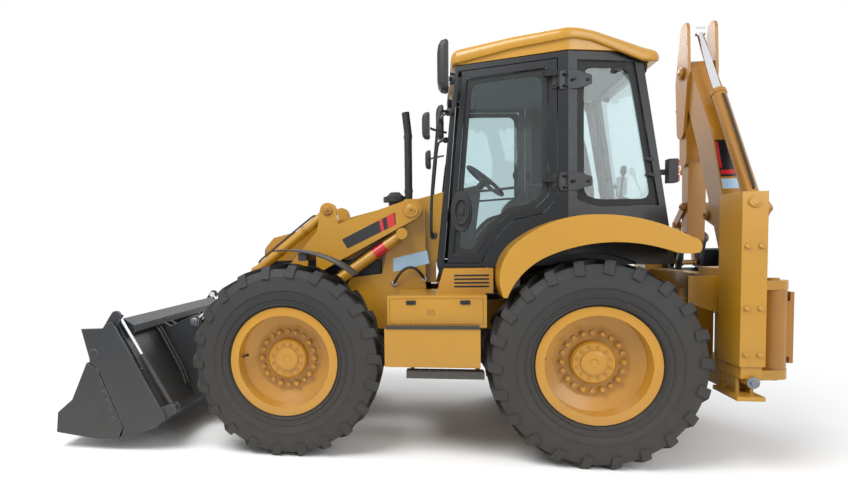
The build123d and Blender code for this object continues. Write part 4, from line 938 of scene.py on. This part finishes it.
shape, machine_caps, bucket_caps = bmesh.new(), bmesh.new(), bmesh.new()
for side in (1, -1):
    out = (0, side, 0)
    for r, z in (TILT_BASE, LIFT_EYE):
        pin_cap(shape, (along(r), side * ARM_CAP_Y, z), out, 0.034)
    pin_cap(machine_caps, (along(1.251), side * ARM_CAP_Y, 1.838), out, 0.042)
    for r, z in ((3.000, 0.420), TILT_EYE):
        pin_cap(bucket_caps, (along(r), side * BUCKET_CAP_Y, z), out, 0.034)
piece("arm_pins", shape, shaded_yellow, "loader_arms")
piece("arm_pivot_pins", machine_caps, yellow)
piece("bucket_pins", bucket_caps, bare_steel, "loader_bucket")
print("pins, glands and pipes")

# %% Arm panels and pipes
# the panel's four corners (ahead of the rear axle, up), and how far out film and bars lie
TOP_REAR, LOW_REAR, LOW_FRONT, TOP_FRONT = (1.378, 1.822), (1.372, 1.722), (1.770, 1.535), (1.815, 1.612)
FILM_Y = (0.4603, 0.4613, 0.4619)
ARM_RUN = [(1.34, 1.84), (1.46, 1.79), (1.80, 1.62), (1.95, 1.54), (2.10, 1.40), (2.50, 0.95)]
dark, bars = bmesh.new(), bmesh.new()
for name, side in SIDES:
    skin_y, film_y, bar_y = (side * y for y in FILM_Y)
    upright(dark, [TOP_REAR, LOW_REAR, LOW_FRONT, TOP_FRONT], skin_y, film_y, 0.012)
    for a, b in ((0.02, 0.16), (0.24, 0.30)):
        low = [(mix(LOW_REAR[0], LOW_FRONT[0], t), mix(LOW_REAR[1], LOW_FRONT[1], t)) for t in (a, b)]
        high = [(mix(TOP_REAR[0], TOP_FRONT[0], t), mix(TOP_REAR[1], TOP_FRONT[1], t)) for t in (b, a)]
        upright(bars, low + high, film_y, bar_y)
    for i, lift in enumerate((0.0, 0.034)):
        points = on_side(side, [(r, 0.337, z + lift) for r, z in ARM_RUN])
        bent_tube(f"arm_pipe_{name}_{i}", points, 0.009, axle_black, "loader_arms")
piece("arm_panels", dark, black_film, "loader_arms")
piece("arm_panel_bars", bars, red_film, "loader_arms")

# %% Bucket wear parts
shape = bmesh.new()
upright(shape, [(3.88, 0.1365), (4.026, 0.1525), (4.027, 0.160), (3.885, 0.1455)], -1.168, 1.168)
for i in range(14):
    bolt(shape, (along(3.93), -1.105 + 0.17 * i, 0.1485), (-0.11, 0, 1), 0.026)
piece("bucket_wear_edge", shape, bare_steel, "bucket_clam", edge=0.002)
shape = bmesh.new()
for side in (1, -1):
    for i in range(5):
        t = 0.1 + 0.2 * i
        turned(shape, (along(mix(3.53, 3.64, t)), side * 1.1705, mix(0.22, 0.56, t)), (0, side, 0),
               [(0.0, 0.017), (0.005, 0.016), (0.007, 0.009)], 16)
piece("bucket_side_rivets", shape, bucket_grey, "bucket_clam")
BUCKET_RUN = [(3.155, 0.42), (3.17, 0.50), (3.30, 0.74), (3.39, 0.90), (3.41, 0.905)]
for i, y in enumerate((-0.62, -0.56, 0.56, 0.62)):
    points = on_side(1, [(r, y, z) for r, z in BUCKET_RUN])
    bent_tube(f"bucket_pipe_{i}", points, 0.010, axle_black, "loader_bucket")
print("bucket dressed")

# %% [markdown]
# ## Backhoe
# Folded, the boom leans towards the machine's right, so its back is seen from the left. Pipes for
# the dipper and the bucket run up that back under clamps, beside a blank dark panel with red bars
# and a pale plate.

# %% Backhoe fittings
HOE_X, HOE_Y = rear_axle_x - 1.3, 0.56
# pins in the backhoe's plane (towards the right, up): the boom's foot, the elbow between boom and
# dipper, the bucket's pin and its rocker's, and each cylinder's base and rod eye
FOOT, ELBOW = (0.27, 0.92), (1.40, 3.06)
BUCKET_PIN, ROCKER_PIN = (1.45, 1.56), (1.44, 1.85)
BOOM_BASE, BOOM_EYE = (0.400, 0.650), (0.905, 1.750)
DIPPER_BASE, DIPPER_EYE = (0.270, 1.770), (1.385, 3.425)
DIG_BASE, DIG_EYE = (1.590, 2.760), (1.660, 1.690)
# the boom's direction, and the direction off its back
RUN, BACK = (0.4226, 0.9063), (-0.9063, 0.4226)


def hoe(x, s, z):
    """A point by the folded backhoe's plane: ahead of it, towards the right, and up."""
    return Vector((HOE_X + x, HOE_Y - s, z))


def boom_back(t, out):
    """A place on the back of the boom: t along it from its foot, and so far off its skin."""
    off = 0.085 + 0.06 * t / 1.633 + out
    return FOOT[0] + RUN[0] * t + BACK[0] * off, FOOT[1] + RUN[1] * t + BACK[1] * off


def back_plate(shape, t0, t1, x0, x1, low, high):
    """Add a thin plate on the boom's back."""
    outline = [boom_back(t0, low), boom_back(t1, low), boom_back(t1, high), boom_back(t0, high)]
    plate(shape, [(HOE_Y - s, z) for s, z in outline], "x", HOE_X + x0, HOE_X + x1)


for name, finish, patches in (
        ("boom_panel", black_film, [(1.19, 1.53, -0.045, 0.088, 0.0004, 0.0014)]),
        ("boom_panel_bars", red_film, [(1.21, 1.25, -0.04, 0.083, 0.0014, 0.0020),
                                       (1.27, 1.51, 0.066, 0.083, 0.0014, 0.0020)]),
        ("boom_pale_plate", pale_film, [(1.08, 1.17, -0.03, 0.088, 0.0004, 0.0012)])):
    shape = bmesh.new()
    for patch in patches:
        back_plate(shape, *patch)
    piece(name, shape, finish, "boom")
PIPE_RUN = ((0.30, 0.004), (0.34, 0.016), (0.8, 0.016), (1.45, 0.016), (1.55, 0.018), (1.60, 0.005))
for i, x in enumerate((-0.088, -0.066)):
    points = [hoe(x, *boom_back(t, out)) for t, out in PIPE_RUN]
    bent_tube(f"boom_pipe_{i}", points, 0.009, axle_black, "boom")
clamps = bmesh.new()
for t in (0.45, 0.9, 1.35):
    back_plate(clamps, t - 0.02, t + 0.02, -0.098, -0.056, 0.0003, 0.028)
piece("boom_pipe_clamps", clamps, axle_black, "boom", edge=0.002)

# each barrel: base, eye, its length and radius, where its pipe starts and ends, the pipe's side
for body, base, eye, length, radius, reach, side in (
        ("boom_cylinder_barrel", BOOM_BASE, BOOM_EYE, 0.680, 0.060, (0.20, 0.60), 1),
        ("dipper_cylinder_barrel", DIPPER_BASE, DIPPER_EYE, 1.240, 0.055, (0.15, 1.15), -1),
        ("hoe_bucket_cylinder_barrel", DIG_BASE, DIG_EYE, 0.600, 0.048, (0.12, 0.52), -1)):
    shape = bmesh.new()
    start, end = hoe(0, *base), hoe(0, *eye)
    gland(shape, start, end, length, radius)
    piece(f"{body}_gland", shape, shaded_yellow, body)
    way = (end - start).normalized()
    lift = Vector((1, 0, 0)).cross(way) * side * (radius + 0.010)
    feed_pipe(f"{body}_pipe", start, end, reach, lift, body, 0.009)
# each body's pins: the place, how far the cap lies from the middle, and its radius
groups = {"kingpost": [(FOOT, 0.150, 0.044), (BOOM_BASE, 0.1405, 0.036)],
          "boom": [(ELBOW, 0.1375, 0.048), (DIPPER_BASE, 0.0855, 0.03), (BOOM_EYE, 0.0925, 0.034)],
          "dipper": [(BUCKET_PIN, 0.1055, 0.036), (ROCKER_PIN, 0.0975, 0.03), (DIG_BASE, 0.0855, 0.028)]}
for body, pins in groups.items():
    shape = bmesh.new()
    for (s, z), x, radius in pins:
        for side in (1, -1):
            pin_cap(shape, hoe(side * x, s, z), (side, 0, 0), radius)
    piece(f"{body}_pin_caps", shape, shaded_yellow, body)
print("backhoe dressed")

# %% [markdown]
# ## Rear lamps, the nose, the loader tower and the legs
# Red and amber lamps stand behind the cab, flat red ones on the legs, and headlamps sit in the
# bonnet's nose. A pale plate and a short pipe lie on the left tower, and bolt heads show on the
# leg boxes.

# %% Lamps
black, reds, ambers, clears, bowls = (bmesh.new() for _ in range(5))
for side in (1, -1):
    side_block(black, side, (-0.640, -0.575), (0.585, 0.665), (1.96, 2.13))
    side_block(black, side, (-0.58, -0.50), (0.60, 0.62), (2.02, 2.06))
    for low, shape in ((1.968, reds), (2.022, ambers), (2.076, reds)):
        side_block(shape, side, (-0.652, -0.6405), (0.592, 0.658), (low, low + 0.046))
    side_block(black, side, (-1.0175, -1.0105), (0.93, 1.04), (1.49, 1.63))
    side_block(reds, side, (-1.0235, -1.0177), (0.94, 1.03), (1.50, 1.62))
piece("tail_lamp_housings", black, black_plastic, edge=0.004)
piece("tail_lamp_reds", reds, lens_red, edge=0.003)
piece("tail_lamp_ambers", ambers, lens_amber, edge=0.003)
HEADLAMP_RIM = [(-0.01, 0.048), (0.006, 0.052), (0.016, 0.050), (0.016, 0.044), (0.006, 0.042)]
rims = bmesh.new()
for side in (1, -1):
    centre, ahead = (along(2.519), side * 0.175, 1.502), (1, 0, 0)
    turned(rims, centre, ahead, HEADLAMP_RIM, 28)
    turned(bowls, centre, ahead, [(0.0065, 0.041), (0.0075, 0.041)], 28)
    turned(clears, centre, ahead, [(0.008, 0.0425), (0.016, 0.040), (0.020, 0.025)], 28)
piece("headlamp_rims", rims, black_plastic, "bonnet")
piece("headlamp_bowls", bowls, silver, "bonnet")
piece("headlamp_lenses", clears, lens_clear, "bonnet")

# %% Plate and pipe on the loader tower
shape = bmesh.new()
upright(shape, [(1.405, 1.333), (1.405, 1.445), (1.130, 1.507), (1.111, 1.400)], 0.3453, 0.3465)
piece("tower_pale_plate", shape, pale_film)
TOWER_RUN = [(1.400, 0.349, 1.235), (1.382, 0.385, 1.273), (1.330, 0.395, 1.350),
             (1.260, 0.395, 1.380), (1.190, 0.390, 1.340), (1.150, 0.349, 1.270)]
bent_tube("tower_pipe", on_side(1, TOWER_RUN), 0.011, axle_black)
shape = bmesh.new()
for r, z in ((1.400, 1.235), (1.150, 1.270)):
    turned(shape, (along(r), 0.3455, z), (0, 1, 0), [(0.0, 0.024), (0.012, 0.022), (0.014, 0.014)], 20)
piece("tower_pipe_ports", shape, zinc)
print("loader tower dressed")

# %% Bolts on the legs, wiper, exhaust bands
LEG_FACE, UPPER_BOLT = 1.1205, (-0.936, 1.778)
LOWER_BOLTS = [(r, z) for z in (1.50, 1.10, 0.80) for r in (-0.895, -0.975)]
shape = bmesh.new()
for side in (1, -1):
    for r, z in [UPPER_BOLT] + LOWER_BOLTS:
        bolt(shape, (along(r), side * LEG_FACE, z), (0, side, 0), 0.030)
    turned(shape, (along(UPPER_BOLT[0]), side * LEG_FACE, UPPER_BOLT[1]), (0, side, 0),
           [(0.0, 0.034), (0.006, 0.032), (0.007, 0.024)], 24)
piece("leg_box_bolts", shape, yellow)
for name, side in SIDES:
    shape = bmesh.new()
    turned(shape, (along(-0.935), side * 1.1352, 0.620), (0, side, 0),
           [(0.0, 0.040), (0.006, 0.038), (0.008, 0.022), (0.02, 0.02)], 24)
    piece(f"leg_pin_{name}", shape, bare_steel, f"stabiliser_{name}")


SCREEN_LEAN = 0.0993


def screen(y, z, out):
    """A point on the windscreen, moved forwards."""
    return Vector((along(SILL_PLAN[0][0] - SCREEN_LEAN * (z - SILL_Z) + out), y, z))


ARM_OF_WIPER = [(0.0, 1.43, 0.02), (0.02, 1.50, 0.03), (0.16, 1.85, 0.03), (0.20, 1.95, 0.015)]
BLADE = [(0.10, 1.70, 0.002), (0.15, 1.83, 0.006), (0.25, 2.08, 0.006), (0.30, 2.20, 0.002)]
bent_tube("wiper_arm", [screen(*p) for p in ARM_OF_WIPER], 0.006, soft_black)
bent_tube("wiper_blade", [screen(*p) for p in BLADE], 0.008, soft_black)
shape = bmesh.new()
turned(shape, screen(0.0, 1.43, -0.005), (1, 0, 0.1), [(0.0, 0.022), (0.02, 0.020), (0.028, 0.012)], 20)
for z in (2.02, 2.50):
    band(shape, (along(1.29), -0.150, z), (0, 0, 1), 0.0342, 0.038, 0.03)
piece("wiper_boss_and_bands", shape, axle_black)
print("lamps, bolts and wiper")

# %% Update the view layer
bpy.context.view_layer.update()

# %% [markdown]
# ## Studio
# The floor is a plain pale sheet, and the background is white. A broad overhead light and softer
# ones from the side and from behind give the paint a gradient to show without hard shadows.

# %% Floor, world and lights
FLOOR_HALF = 40
# distances in metres from the middle between which the floor fades to white
FADE_FROM, FADE_TO = 2.2, 5.5
shape = bmesh.new()
block(shape, (-FLOOR_HALF, -FLOOR_HALF, -0.02), (FLOOR_HALF, FLOOR_HALF, -0.001))
floor_mesh = bpy.data.meshes.new("floor")
shape.to_mesh(floor_mesh)
shape.free()
floor = bpy.data.objects.new("floor", floor_mesh)
bpy.context.scene.collection.objects.link(floor)
floor_paper, tree, shader = new_finish("pale studio floor")
set_inputs(tree, shader, {"Base Color": linear("#fbfbfa"), "Roughness": 0.9})
place = add_node(tree, "TexCoord").outputs["Object"]
away = add_node(tree, "VectorMath", {0: place}, operation="LENGTH")
fade = add_node(tree, "MapRange", {"Value": away.outputs["Value"], "From Min": FADE_FROM,
                                   "From Max": FADE_TO, "To Min": 0.0, "To Max": 1.0},
                interpolation_type="SMOOTHSTEP")
white = add_node(tree, "Emission", {"Color": (1, 1, 1, 1), "Strength": 1.0})
faded = add_node(tree, "MixShader", {0: fade.outputs[0], 1: shader.outputs[0], 2: white.outputs[0]})
out = next(n for n in tree.nodes if n.type == "OUTPUT_MATERIAL")
tree.links.new(faded.outputs[0], out.inputs["Surface"])
floor_mesh.materials.append(floor_paper)

world = bpy.data.worlds.new("studio")
bpy.context.scene.world = world
world.use_nodes = True
tree = world.node_tree
tree.nodes.clear()
# straight, mirrored and glass views see white, and all other light comes from a pale sky
rays = add_node(tree, "LightPath")
seen = add_node(tree, "Math", {0: rays.outputs["Is Camera Ray"], 1: rays.outputs["Is Glossy Ray"]},
                operation="MAXIMUM")
seen = add_node(tree, "Math", {0: seen.outputs[0], 1: rays.outputs["Is Transmission Ray"]},
                operation="MAXIMUM")
sky = add_node(tree, "Background", {"Color": linear("#eef2f7"), "Strength": 0.62})
paper = add_node(tree, "Background", {"Color": (1, 1, 1, 1), "Strength": 1.0})
both = add_node(tree, "MixShader", {0: seen.outputs[0], 1: sky.outputs[0], 2: paper.outputs[0]})
out = add_node(tree, "OutputWorld")
tree.links.new(both.outputs[0], out.inputs["Surface"])
LAMP_SIZE = 5.0
for name, place, power, aim in (("key", (3.5, 5.0, 8.0), 700, (0.3, 0.3, 1.2)),
                                ("side", (-5.5, 6.0, 4.5), 260, (-0.5, 0.5, 1.2)),
                                ("back", (-1.0, -7.0, 7.0), 260, (0, 0, 1.2))):
    lamp_data = bpy.data.lights.new(name, "AREA")
    lamp_data.size = LAMP_SIZE
    lamp_data.energy = power
    lamp = bpy.data.objects.new(name, lamp_data)
    lamp.location = place
    lamp.rotation_euler = (Vector(aim) - Vector(place)).to_track_quat("-Z", "Y").to_euler()
    bpy.context.scene.collection.objects.link(lamp)
bpy.context.scene.view_settings.view_transform = "Standard"
print("studio ready")
